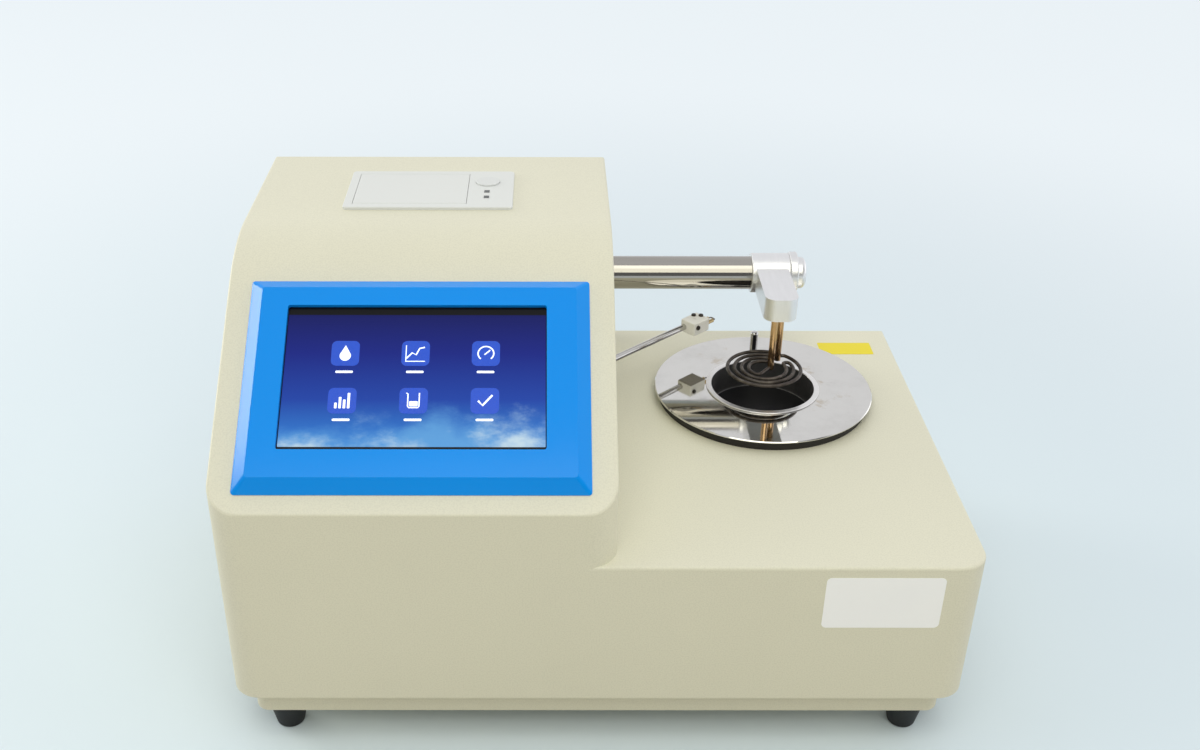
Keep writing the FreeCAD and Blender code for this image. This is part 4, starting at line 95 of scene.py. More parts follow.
# The coil's middle line: angles round the well, metres, and the points on its arcs
HAIRPINS = (72.0, 20.0, 75.0)
BAR_ANGLE = 226.0
BAR_BEND = 0.003
ROD_GAP = 0.0003
ARC_STEP = 4
ARC_LEAST = 3

# Floor: the colour that it throws back, and how it pales with its distance from the object
FLOOR_HALF = 60.0
FLOOR_FADE = (0.25, 1.3)
FLOOR_GLOW = 0.85
FLOOR_BOUNCE = (0.62, 0.60, 0.53, 1)

# Lamps, and the sky: ROOM is its dim part in front and GLOW its bright sides, in parts of a radius
KEY_SIZE = 1.8
KEY_PLACE = (0.1, -1.2, 1.65)
FILL_SIZE = 0.9
FILL_PLACE = (-1.95, 1.0, 0.6)
LAMP_AIM = Vector((0, 0, 0.1))
SKY_COLOUR = (0.985, 0.99, 1.02, 1)
ROOM_SIDE = (0.1, 0.3)
ROOM_TOP = (0.7, 0.85)
ROOM_DIMMING = 0.75
GLOW_SIDE = (0.25, 0.7)
GLOW_TOP = (0.16, 0.4)

# The photograph's camera, in metres, millimetres and degrees
CAMERA_PLACE = (-0.032582, -0.7706, 0.606793)
CAMERA_SHIFT = (0.04238, 0.04503)
CAMERA_SENSOR = 36.0
CAMERA_TILT = -31.118
CAMERA_TURN = -0.171
CAMERA_ROLL = -0.159

# Scene colours of bare and burnt materials, and of the painted shade on downward faces
PLATE_CLEAN = (0.73, 0.72, 0.69, 1)
PLATE_SMUDGED = (0.66, 0.65, 0.62, 1)
PLATE_STAINED = (0.52, 0.44, 0.33, 1)
CHROME_DARK = (0.34, 0.325, 0.29, 1)
CHROME_LIGHT = (0.45, 0.43, 0.40, 1)
HEAD_DARK = (0.80, 0.80, 0.80, 1)
HEAD_LIGHT = (0.90, 0.90, 0.90, 1)
HEAD_UNDERSIDE_SHADE = (0.16, 0.145, 0.13, 1)
CERAMIC_CLEAN = (0.80, 0.79, 0.74, 1)
CERAMIC_MARKED = (0.33, 0.30, 0.26, 1)
CERAMIC_UNDERSIDE_SHADE = (0.20, 0.175, 0.15, 1)
BORE_TONES = ((0.004, 0.004, 0.005, 1), (0.010, 0.010, 0.011, 1))
WALL_TONES = ((0.30, 0.30, 0.31, 1), (0.46, 0.45, 0.45, 1))
LIP_TONES = ((0.78, 0.76, 0.74, 1), (0.90, 0.89, 0.87, 1))
WIRE_STOPS = ((0.25, (0.035, 0.028, 0.024, 1)), (0.5, (0.085, 0.072, 0.062, 1)),
              (0.68, (0.17, 0.15, 0.13, 1)), (0.85, (0.11, 0.075, 0.05, 1)))
PICTURE_STOPS = ((0.0, (0.03, 0.25, 0.78, 1)), (0.35, (0.008, 0.06, 0.44, 1)),
                 (0.7, (0.004, 0.016, 0.26, 1)), (1.0, (0.002, 0.006, 0.13, 1)))
MIST_BLUE = (0.14, 0.44, 0.86, 1)
MIST_WHITE = (0.66, 0.84, 0.96, 1)
BLACK = (0.0, 0.0, 0.0, 1)

DISPLAY_TOP = 255
DISPLAY_GAMMA = 2.2


def tone(red, green, blue):
    """Scene colour of a paint given by its display values from 0 to 255."""
    return tuple((value / DISPLAY_TOP) ** DISPLAY_GAMMA for value in (red, green, blue))


def shade(colour, share):
    """Colour made darker or lighter, with its alpha."""
    return tuple(min(value * share, 1.0) for value in colour[:3]) + (1.0,)


# ---------------------------------------------------------------- settings

class TesterStageSettings(bpy.types.PropertyGroup):
    """Floor, lights and camera."""
    floor_near: bpy.props.FloatVectorProperty(
        name="Floor", description="Colour of the floor around the object", subtype="COLOR",
        size=3, min=0, max=1, default=tone(214, 228, 236))
    floor_far: bpy.props.FloatVectorProperty(
        name="Floor Far", description="Colour of the floor away from the object", subtype="COLOR",
        size=3, min=0, max=1, default=tone(240, 247, 251))
    key_power: bpy.props.FloatProperty(
        name="Key", description="Power of the soft light over the front", default=19.0,
        min=0, unit="POWER")
    fill_power: bpy.props.FloatProperty(
        name="Fill", description="Power of the soft light at the left rear", default=15.0,
        min=0, unit="POWER")
    lamp_colour: bpy.props.FloatVectorProperty(
        name="Lamp Colour", description="Colour of the soft lights", subtype="COLOR",
        size=3, min=0, max=1, default=(1.0, 0.98, 0.84))
    sky_strength: bpy.props.FloatProperty(
        name="Sky", description="Strength of the even light all round", default=0.84, min=0)
    lens: bpy.props.FloatProperty(
        name="Lens", description="Focal length of the camera in millimetres", default=40.432, min=1)


class TesterCasingSettings(bpy.types.PropertyGroup):
    """Powder coat of the casing."""
    paint: bpy.props.FloatVectorProperty(
        name="Paint", description="Colour of the casing", subtype="COLOR",
        size=3, min=0, max=1, default=tone(222, 220, 199))
    peel_depth: bpy.props.FloatProperty(
        name="Peel Depth", description="Depth of the coat's fine dimples", default=0.0001,
        min=0, unit="LENGTH", precision=6)
    foot_ribs: bpy.props.IntProperty(
        name="Foot Ribs", description="Moulded ribs round each foot", default=4, min=1)
    rib_radius: bpy.props.FloatProperty(
        name="Rib Radius", description="Half the thickness of a foot's rib", default=0.0006,
        min=0, unit="LENGTH", precision=5)


class TesterScreenSettings(bpy.types.PropertyGroup):
    """Display and its frame."""
    bezel: bpy.props.FloatVectorProperty(
        name="Bezel", description="Colour of the frame round the display", subtype="COLOR",
        size=3, min=0, max=1, default=tone(0, 142, 240))
    glow: bpy.props.FloatProperty(
        name="Glow", description="Strength of the display's own light", default=0.75, min=0)
    columns: bpy.props.IntProperty(
        name="Tile Columns", description="Tiles side by side", default=3, min=1)
    rows: bpy.props.IntProperty(
        name="Tile Rows", description="Rows of tiles", default=2, min=1)
    tile: bpy.props.FloatProperty(
        name="Tile Size", description="Side of a tile on the display", default=0.0165,
        min=0.001, unit="LENGTH", precision=4)


class TesterHeatSettings(bpy.types.PropertyGroup):
    """Coil over the cup seat."""
    ring_radius: bpy.props.FloatProperty(
        name="Ring Radius", description="Radius of the coil's outer ring", default=0.0252,
        min=0.001, unit="LENGTH", precision=4)
    pitch: bpy.props.FloatProperty(
        name="Pitch", description="Distance from one ring to the next", default=0.0049,
        min=0.001, unit="LENGTH", precision=4)
    wire_radius: bpy.props.FloatProperty(
        name="Wire Radius", description="Half the coil wire's thickness", default=0.00125,
        min=0.0001, unit="LENGTH", precision=5)
    wire_sides: bpy.props.IntProperty(
        name="Wire Sides", description="Facets round the coil wire", default=16, min=6)


class TesterBackSettings(bpy.types.PropertyGroup):
    """Fasteners of the rear panel."""
    washer_radius: bpy.props.FloatProperty(
        name="Washer Radius", description="Outer radius of a screw's washer", default=0.0037,
        min=0.001, unit="LENGTH", precision=4)
    washer_height: bpy.props.FloatProperty(
        name="Washer Height", description="Thickness of a screw's washer", default=0.0005,
        min=0.0001, unit="LENGTH", precision=5)


# ---------------------------------------------------------------- node trees

class Reading:
    """A value or colour in a node tree, for use in sums and products."""

    def __init__(self, wiring, socket):
        self.wiring = wiring
        self.socket = socket

    def __add__(self, other):
        return self.wiring.maths("ADD", self, other)

    def __sub__(self, other):
        return self.wiring.maths("SUBTRACT", self, other)

    def __rsub__(self, other):
        return self.wiring.maths("SUBTRACT", other, self)

    def __mul__(self, other):
        return self.wiring.maths("MULTIPLY", self, other)

    __radd__ = __add__
    __rmul__ = __mul__

    def between(self, low, high):
        """0 at low and under, 1 at high and over, and smooth in between."""
        return self.wiring.node("ShaderNodeMapRange", {"interpolation_type": "SMOOTHSTEP"},
                                {"Value": self, "From Min": low, "From Max": high})


class Wiring:
    """A node tree and the one way in which its nodes are added."""

    def __init__(self, tree):
        self.tree = tree

    def feed(self, socket, value):
        if isinstance(value, Reading):
            self.tree.links.new(value.socket, socket)
        else:
            socket.default_value = value

    def node(self, kind, settings=None, inputs=None, output=0):
        made = self.tree.nodes.new(kind)
        for key, value in (settings or {}).items():
            if key == "stops":
                self.set_stops(made.color_ramp, value)
            else:
                setattr(made, key, value)
        for key, value in (inputs or {}).items():
            self.feed(made.inputs[key], value)
        return Reading(self, made.outputs[output])

    def set_stops(self, ramp, stops):
        while len(ramp.elements) < len(stops):
            ramp.elements.new(0.5)
        for element, (place, colour) in zip(ramp.elements, stops):
            element.position = place
            element.color = colour

    def split(self, value):
        """The three parts of a vector."""
        parts = self.tree.nodes.new("ShaderNodeSeparateXYZ")
        self.feed(parts.inputs[0], value)
        return [Reading(self, output) for output in parts.outputs]

    def maths(self, operation, first, second):
        return self.node("ShaderNodeMath", {"operation": operation}, {0: first, 1: second})

    def root(self, value):
        return self.node("ShaderNodeMath", {"operation": "SQRT"}, {0: value})


class Finish(Wiring):
    """One procedural material, read on the part's own coordinates."""

    def __init__(self, name, **plain):
        self.material = bpy.data.materials.new(name)
        self.material.use_nodes = True
        super().__init__(self.material.node_tree)
        self.shader = self.tree.nodes["Principled BSDF"]
        self.place = self.node("ShaderNodeTexCoord", output="Object")
        self.set(**plain)

    def set(self, **values):
        for key, value in values.items():
            self.feed(self.shader.inputs[key.replace("_", " ")], value)

    def noise(self, scale, detail=3.0, roughness=0.5, place=None):
        return self.node("ShaderNodeTexNoise", {}, {
            "Vector": place or self.place, "Scale": scale, "Detail": detail,
            "Roughness": roughness})

    def stretched(self, scale):
        return self.node("ShaderNodeMapping", {}, {"Vector": self.place, "Scale": scale})

    def rings(self, reach, marks, detail=3.0):
        """Uneven rings round an axis, so many to a metre."""
        return self.node("ShaderNodeTexNoise", {"noise_dimensions": "1D"}, {
            "W": reach * marks, "Scale": 1.0, "Detail": detail})

    def axes(self):
        return self.split(self.place)

    def mix(self, share, first, second):
        return self.node("ShaderNodeMix", {"data_type": "RGBA"}, {0: share, 6: first, 7: second}, 2)

    def ramp(self, value, stops):
        return self.node("ShaderNodeValToRGB", {"stops": stops}, {"Fac": value})

    def bump(self, height, distance, strength=1.0):
        self.set(Normal=self.node("ShaderNodeBump", {}, {
            "Height": height, "Distance": distance, "Strength": strength}))

    def underside(self):
        """1 on faces that look down, 0 on the others."""
        upward = self.split(self.node("ShaderNodeTexCoord", output="Normal"))[2]
        return (0 - upward).between(*DOWNWARD)

    def seen(self):
        """1 for what the camera sees itself, in metal or through glass, and 0 for soft light."""
        direct, mirrored, passed = (self.node("ShaderNodeLightPath", output=f"Is {kind} Ray")
                                    for kind in ("Camera", "Glossy", "Transmission"))
        return direct + mirrored * (1 - direct) + passed * (1 - direct) * (1 - mirrored)

    def reach(self, first, second, middle):
        """Distance from an axis that crosses the plane of two coordinates at middle."""
        across = first - middle[0]
        along = second - middle[1]
        return self.root(across * across + along * along)


class Grower(Wiring):
    """A Geometry Nodes tree with named inputs, which turns a start mesh into a finished one."""

    def __init__(self, name, sizes):
        super().__init__(bpy.data.node_groups.new(name, "GeometryNodeTree"))
        face = self.tree.interface
        face.new_socket("Geometry", in_out="INPUT", socket_type="NodeSocketGeometry")
        self.sizes = {}
        for label, value in sizes.items():
            kind = "NodeSocketInt" if isinstance(value, int) else "NodeSocketFloat"
            socket = face.new_socket(label, in_out="INPUT", socket_type=kind)
            self.sizes[socket.identifier] = value
        face.new_socket("Geometry", in_out="OUTPUT", socket_type="NodeSocketGeometry")
        self.entry = self.tree.nodes.new("NodeGroupInput")

    def given(self, label):
        return Reading(self, self.entry.outputs[label])

    def start(self):
        return self.given("Geometry")

    def close(self, shape, material, smooth=True):
        """The tree's end: real geometry in one material."""
        shape = self.node("GeometryNodeRealizeInstances", {}, {0: shape})
        shape = self.node("GeometryNodeSetShadeSmooth", {}, {
            "Geometry": shape, "Shade Smooth": smooth})
        shape = self.node("GeometryNodeSetMaterial", {}, {
            "Geometry": shape, "Material": material})
        end = self.tree.nodes.new("NodeGroupOutput")
        self.feed(end.inputs[0], shape)

    def grow(self, start):
        """Plain mesh that the tree makes from the start mesh."""
        holder = bpy.data.objects.new(self.tree.name, start)
        bpy.context.scene.collection.objects.link(holder)
        growth = holder.modifiers.new("growth", "NODES")
        growth.node_group = self.tree
        for identifier, value in self.sizes.items():
            growth[identifier] = value
        ready = holder.evaluated_get(bpy.context.evaluated_depsgraph_get())
        mesh = bpy.data.meshes.new_from_object(ready)
        holder.modifiers.remove(growth)
        bpy.data.objects.remove(holder)
        return mesh


# ---------------------------------------------------------------- meshes

def add_piece(name, mesh, body, stands_for=()):
    """A mesh as a piece of the part, riding on one body."""
    piece = bpy.data.objects.new(name, mesh)
    bpy.context.scene.collection.objects.link(piece)
    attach(piece, body)
    if stands_for:
        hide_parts(*stands_for)
    return piece


def dress(material, *nodes):
    """Gives whole solids one finish."""
    for node in nodes:
        mesh = NODES[node].data
        mesh.materials.clear()
        mesh.materials.append(material)


def as_mesh(name, work, place, material):
    """Mesh of a bmesh, moved to its place in the row's frame."""
    bmesh.ops.transform(work, matrix=place, verts=work.verts)
    bmesh.ops.recalc_face_normals(work, faces=work.faces)
    mesh = bpy.data.meshes.new(name)
    work.to_mesh(mesh)
    work.free()
    mesh.materials.append(material)
    return mesh


def add_prism(work, outline, low, high):
    """Closed solid between two heights over an outline of (x, y) points."""
    floor = [work.verts.new((x, y, low)) for x, y in outline]
    roof = [work.verts.new((x, y, high)) for x, y in outline]
    work.faces.new(roof)
    work.faces.new(floor[::-1])
    for i, corner in enumerate(floor):
        follows = (i + 1) % len(floor)
        work.faces.new((corner, floor[follows], roof[follows], roof[i]))


def rounded(x, y, width, height, radius, steps=6):
    """Rectangle round a middle point, with rounded corners."""
    points = []
    for turn, (side, end) in enumerate(((1, 1), (-1, 1), (-1, -1), (1, -1))):
        middle = (x + side * (width / 2 - radius), y + end * (height / 2 - radius))
        for i in range(steps + 1):
            angle = (turn + i / steps) * math.pi / 2
            points.append((middle[0] + radius * math.cos(angle),
                           middle[1] + radius * math.sin(angle)))
    return points


def stroke(points, width):
    """Outline of a line of even width through some points."""
    sides = ([], [])
    for i, point in enumerate(points):
        before = Vector(points[max(i - 1, 0)])
        after = Vector(points[min(i + 1, len(points) - 1)])
        way = (after - before).normalized()
        across = Vector((-way.y, way.x)) * width / 2
        sides[0].append(tuple(Vector(point) + across))
        sides[1].append(tuple(Vector(point) - across))
    return sides[1] + sides[0][::-1]


def point_mesh(name, points, chained=False):
    """Bare points, or a chain of edges through them."""
    mesh = bpy.data.meshes.new(name)
    edges = [(i, i + 1) for i in range(len(points) - 1)] if chained else []
    mesh.from_pydata([tuple(point) for point in points], edges, [])
    return mesh


def slope_box(node):
    """Lowest and highest corner of a solid in the sloping panel's own frame."""
    back = SLOPE.inverted()
    corners = [back @ vertex.co for vertex in NODES[node].data.vertices]
    return (Vector([min(point[i] for point in corners) for i in range(3)]),
            Vector([max(point[i] for point in corners) for i in range(3)]))


# ---------------------------------------------------------------- finishes

def plain_finish(name, colour, roughness, metallic=0.0, spread=0.05, scale=45.0,
                 grain=900.0, depth=0.00002, **plain):
    """Even finish with slight clouds of colour and gloss and a fine grain."""
    finish = Finish(name, **plain)
    cloud = finish.noise(scale, detail=4.0)
    finish.set(Base_Color=finish.mix(cloud, shade(colour, 1 - spread), shade(colour, 1 + spread)),
               Roughness=roughness * (0.8 + cloud * 0.4), Metallic=metallic)
    finish.bump(finish.noise(grain, detail=2.0), distance=depth, strength=0.6)
    return finish.material


def powder_coat(name, colour, depth):
    """Satin powder coat: fine dimples, faint clouds and a fine speckle."""
    finish = Finish(name)
    cloud = finish.noise(scale=9.0, detail=5.0)
    speck = finish.noise(scale=1100.0, detail=2.0).between(0.42, 0.64)
    colour_now = finish.mix(cloud, shade(colour, 0.965), shade(colour, 1.03))
    colour_now = finish.mix(speck * 0.3, colour_now, shade(colour, 0.8))
    finish.set(Base_Color=colour_now, Roughness=0.4 + cloud * 0.12)
    peel = finish.noise(scale=620.0, detail=2.0, roughness=0.55)
    finish.bump(peel, distance=depth, strength=0.55)
    return finish.material


def turned_metal(name, colour, roughness, middle, axis, spread=0.06, marks=2200.0, depth=0.000006):
    """Metal with fine rings from the lathe round one axis."""
    finish = Finish(name, Metallic=1.0)
    x, y, z = finish.axes()
    first, second = {"X": (y, z), "Y": (x, z), "Z": (x, y)}[axis]
    ring = finish.rings(finish.reach(first, second, middle), marks)
    cloud = finish.noise(scale=60.0, detail=4.0)
    finish.set(Base_Color=finish.mix(ring, shade(colour, 1 - spread), shade(colour, 1 + spread)),
               Roughness=roughness + (cloud - 0.5) * 0.1 + (ring - 0.5) * 0.08)
    finish.bump(ring, distance=depth, strength=0.5)
    return finish.material


def polished_plate():
    """Mirror plate with faint turning rings, smudges and brown stains near the well."""
    finish = Finish("mirror_plate", Metallic=1.0)
    x, y = finish.axes()[:2]
    reach = finish.reach(x, y, (WELL_X, WELL_Y))
    smudge = finish.noise(scale=26.0, detail=6.0, roughness=0.65).between(0.42, 0.72)
    stain = finish.noise(scale=48.0, detail=6.0, roughness=0.7).between(0.56, 0.68)
    stain = stain * (1 - reach.between(*STAIN_EDGE))
    clean = finish.mix(smudge, PLATE_CLEAN, PLATE_SMUDGED)
    finish.set(Base_Color=finish.mix(stain * 0.6, clean, PLATE_STAINED),
               Roughness=0.035 + smudge * 0.06)
    ring = finish.rings(reach, marks=1500.0, detail=2.0)
    finish.bump(ring, distance=0.000002, strength=0.25)
    return finish.material


def chrome():
    """Polished tube with faint wiping marks along it and a few dull spots."""
    finish = Finish("chrome_tube", Metallic=1.0)
    wipe = finish.noise(scale=40.0, detail=5.0, roughness=0.6,
                        place=finish.stretched((0.15, 4.0, 4.0)))
    spot = finish.noise(scale=320.0, detail=2.0).between(0.66, 0.74)
    finish.set(Base_Color=finish.mix(wipe, CHROME_DARK, CHROME_LIGHT),
               Roughness=0.06 + wipe * 0.06 + spot * 0.12)
    finish.bump(wipe, distance=0.00001, strength=0.2)
    return finish.material


def burnt_wire():
    """Oxidised coil wire: dark scale with brown and grey patches and a rough skin."""
    finish = Finish("burnt_wire", Metallic=0.75)
    patch = finish.noise(scale=150.0, detail=5.0, roughness=0.6)
    scale = finish.noise(scale=1500.0, detail=3.0, roughness=0.6)
    finish.set(Base_Color=finish.ramp(patch, WIRE_STOPS), Roughness=0.3 + scale * 0.22)
    finish.bump(scale, distance=0.00012, strength=0.7)
    return finish.material


def display_picture(low, high, glow):
    """Deep blue picture that brightens to pale banks of mist along its lower edge."""
    finish = Finish("display_picture", Roughness=0.24, Specular_IOR_Level=0.2)
    finish.set(Emission_Strength=glow)
    y, z = finish.axes()[1:]
    ahead, upward = math.cos(SLOPE_ANGLE), math.sin(SLOPE_ANGLE)
    rise = y * ahead + z * upward
    foot = -SLOPE_FOOT.y * ahead - SLOPE_FOOT.z * upward
    share = (rise + foot - low) * (1 / (high - low))
    bank = finish.noise(scale=19.0, detail=7.0, roughness=0.6,
                        place=finish.stretched((1.0, 1.6, 1.6)))
    cover = finish.noise(scale=14.0, detail=2.0)
    sky = finish.ramp(share, PICTURE_STOPS)
    mist = (bank + cover * 1.4 - share * 1.1).between(0.78, 1.2)
    picture = finish.mix(mist * 0.85, sky, MIST_BLUE)
    picture = finish.mix(mist * bank.between(0.46, 0.7), picture, MIST_WHITE)
    finish.set(Base_Color=finish.mix(0.9, picture, BLACK), Emission_Color=picture)
    return finish.material


def glowing(name, colour, strength):
    """Self-lit colour with faint clouds."""
    finish = Finish(name, Roughness=0.2, Emission_Strength=strength)
    cloud = finish.noise(scale=400.0, detail=2.0)
    lit = finish.mix(cloud, shade(colour, 0.92), shade(colour, 1.05))
    finish.set(Base_Color=lit, Emission_Color=lit)
    return finish.material


def ceramic():
    """Fired white ceramic with small pits and a few sooty marks, and painted shade on its downward
    faces.
    """
    finish = Finish("fired_ceramic", Roughness=0.55)
    soot = finish.noise(scale=170.0, detail=5.0, roughness=0.6).between(0.55, 0.8)
    pit = finish.noise(scale=1400.0, detail=2.0).between(0.6, 0.72)
    clean = finish.mix(soot * 0.5, CERAMIC_CLEAN, CERAMIC_MARKED)
    # Painted shade: faces that look down are mixed towards a dark grey-brown.
    finish.set(Base_Color=finish.mix(finish.underside() * 0.8, clean, CERAMIC_UNDERSIDE_SHADE))
    finish.bump(1 - pit, distance=0.00006, strength=0.6)
    return finish.material


def paint_label(name, colour):
    """Bare film with a slight sheen and a paper-like grain."""
    return plain_finish(name, colour, roughness=0.42, spread=0.02, scale=30.0, grain=1600.0,
                        depth=0.000008)


# ---------------------------------------------------------------- operators

class TESTER_OT_stage(bpy.types.Operator):
    """Set up the floor, the lights and the camera"""
    bl_idname = "tester.stage"
    bl_label = "Stage"

    def execute(self, context):
        wanted = context.scene.tester_stage
        self.lay_floor(wanted)
        self.hang_lights(context, wanted)
        self.place_camera(context, wanted)
        context.scene.view_settings.view_transform = "Standard"
        return {"FINISHED"}

    def lay_floor(self, wanted):
        corners = [(x * FLOOR_HALF, y * FLOOR_HALF, 0)
                   for x, y in ((-1, -1), (1, -1), (1, 1), (-1, 1))]
        mesh = bpy.data.meshes.new("floor")
        mesh.from_pydata(corners, [], [(0, 1, 2, 3)])
        floor = bpy.data.objects.new("floor", mesh)
        bpy.context.scene.collection.objects.link(floor)
        finish = Finish("floor_paper", Roughness=0.8)
        x, y = finish.axes()[:2]
        far = finish.reach(x, y, (0.0, 0.0)).between(*FLOOR_FADE)
        seen = finish.seen()
        finish.set(Base_Color=finish.mix(seen, FLOOR_BOUNCE, shade(wanted.floor_near, 1)))
        glow = finish.node("ShaderNodeEmission", {}, {"Color": shade(wanted.floor_far, 1)})
        surface = finish.node("ShaderNodeMixShader", {}, {
            0: far * seen * FLOOR_GLOW, 1: Reading(finish, finish.shader.outputs[0]), 2: glow})
        finish.feed(finish.tree.nodes["Material Output"].inputs["Surface"], surface)
        mesh.materials.append(finish.material)

    def hang_lights(self, context, wanted):
        """Two soft lamps, and a sky that is dim in front and bright at the sides in reflections."""
        lamps = (("key", wanted.key_power, KEY_SIZE, KEY_PLACE),
                 ("fill", wanted.fill_power, FILL_SIZE, FILL_PLACE))
        for name, power, size, place in lamps:
            light = bpy.data.lights.new(name, "AREA")
            light.energy = power
            light.size = size
            light.color = wanted.lamp_colour
            lamp = bpy.data.objects.new(name, light)
            lamp.location = place
            lamp.visible_camera = False
            lamp.rotation_euler = (LAMP_AIM - lamp.location).to_track_quat("-Z", "Y").to_euler()
            context.scene.collection.objects.link(lamp)
        sky = bpy.data.worlds.new("sky")
        sky.use_nodes = True
        dome = Wiring(sky.node_tree)
        x, y, z = dome.split(dome.node("ShaderNodeTexCoord", output="Generated"))
        dark_room = (0 - y).between(*ROOM_SIDE) * (1 - z.between(*ROOM_TOP))
        side_glow = (x * x).between(*GLOW_SIDE) * (1 - z.between(*GLOW_TOP))
        back = sky.node_tree.nodes["Background"]
        back.inputs["Color"].default_value = SKY_COLOUR
        direct = dome.node("ShaderNodeLightPath", output="Is Camera Ray")
        room = (side_glow - dark_room * ROOM_DIMMING) * (1 - direct)
        dome.feed(back.inputs["Strength"], wanted.sky_strength * (1 + room))
        context.scene.world = sky

    def place_camera(self, context, wanted):
        """Camera of the photograph: place, tilt and off-centre lens."""
        camera = bpy.data.objects.new("camera", bpy.data.cameras.new("camera"))
        camera.data.lens = wanted.lens
        camera.data.sensor_width = CAMERA_SENSOR
        camera.data.shift_x, camera.data.shift_y = CAMERA_SHIFT
        camera.location = CAMERA_PLACE
        turns = ((CAMERA_TURN, "Z"), (CAMERA_TILT, "X"), (CAMERA_ROLL, "Y"), (90, "X"))
        turn, tilt, roll, level = (Matrix.Rotation(math.radians(angle), 4, axis)
                                   for angle, axis in turns)
        camera.rotation_euler = (turn @ tilt @ roll @ level).to_euler()
        context.scene.collection.objects.link(camera)
        context.scene.camera = camera


class TESTER_OT_casing(bpy.types.Operator):
    """Paint the casing, the rear panel and the base, and rib the feet"""
    bl_idname = "tester.casing"
    bl_label = "Casing"

    def execute(self, context):
        wanted = context.scene.tester_casing
        coat = powder_coat("powder_coat", wanted.paint, wanted.peel_depth)
        dress(coat, "tower_wrap", "tower_left_side", "tower_right_side", "deck_plate", "deck_skirt",
              "rear_panel", "base_tray")
        rubber = plain_finish("foot_rubber", tone(14, 15, 17), roughness=0.55, grain=1400.0,
                              depth=0.00005)
        dress(rubber, "rubber_feet")
        self.rib_feet(wanted, rubber)
        return {"FINISHED"}

    def rib_feet(self, wanted, rubber):
        """Moulded ribs round the tapered feet, each foot's ribs on one rising line."""
        places = [(x, y, 0.0) for x in (-FOOT_X, FOOT_X) for y in (-FOOT_Y, FOOT_Y)]
        tree = Grower("foot_ribs", {"Ribs": wanted.foot_ribs, "Rib Radius": wanted.rib_radius,
                                    "Low": 0.0055, "Rise": 0.0032, "Low Radius": 0.00895,
                                    "Taper": 0.000675})
        line = tree.node("GeometryNodeMeshLine", {}, {
            "Count": tree.given("Ribs"),
            "Start Location": tree.node("ShaderNodeCombineXYZ", {}, {"Z": tree.given("Low")}),
            "Offset": tree.node("ShaderNodeCombineXYZ", {}, {"Z": tree.given("Rise")})})
        hoop = tree.node("GeometryNodeCurvePrimitiveCircle", {}, {"Resolution": 48, "Radius": 1.0})
        rank = tree.node("GeometryNodeInputIndex")
        size = tree.given("Low Radius") + rank * tree.given("Taper")
        hoops = tree.node("GeometryNodeInstanceOnPoints", {}, {
            "Points": line, "Instance": hoop,
            "Scale": tree.node("ShaderNodeCombineXYZ", {}, {"X": size, "Y": size, "Z": 1.0})})
        hoops = tree.node("GeometryNodeRealizeInstances", {}, {0: hoops})
        bead = tree.node("GeometryNodeCurvePrimitiveCircle", {}, {
            "Resolution": 8, "Radius": tree.given("Rib Radius")})
        ribs = tree.node("GeometryNodeCurveToMesh", {}, {"Curve": hoops, "Profile Curve": bead})
        feet = tree.node("GeometryNodeInstanceOnPoints", {}, {
            "Points": tree.start(), "Instance": ribs})
        tree.close(feet, rubber)
        ribs = tree.grow(point_mesh("foot_places", places))
        add_piece("foot_ribs", ribs, "instrument")


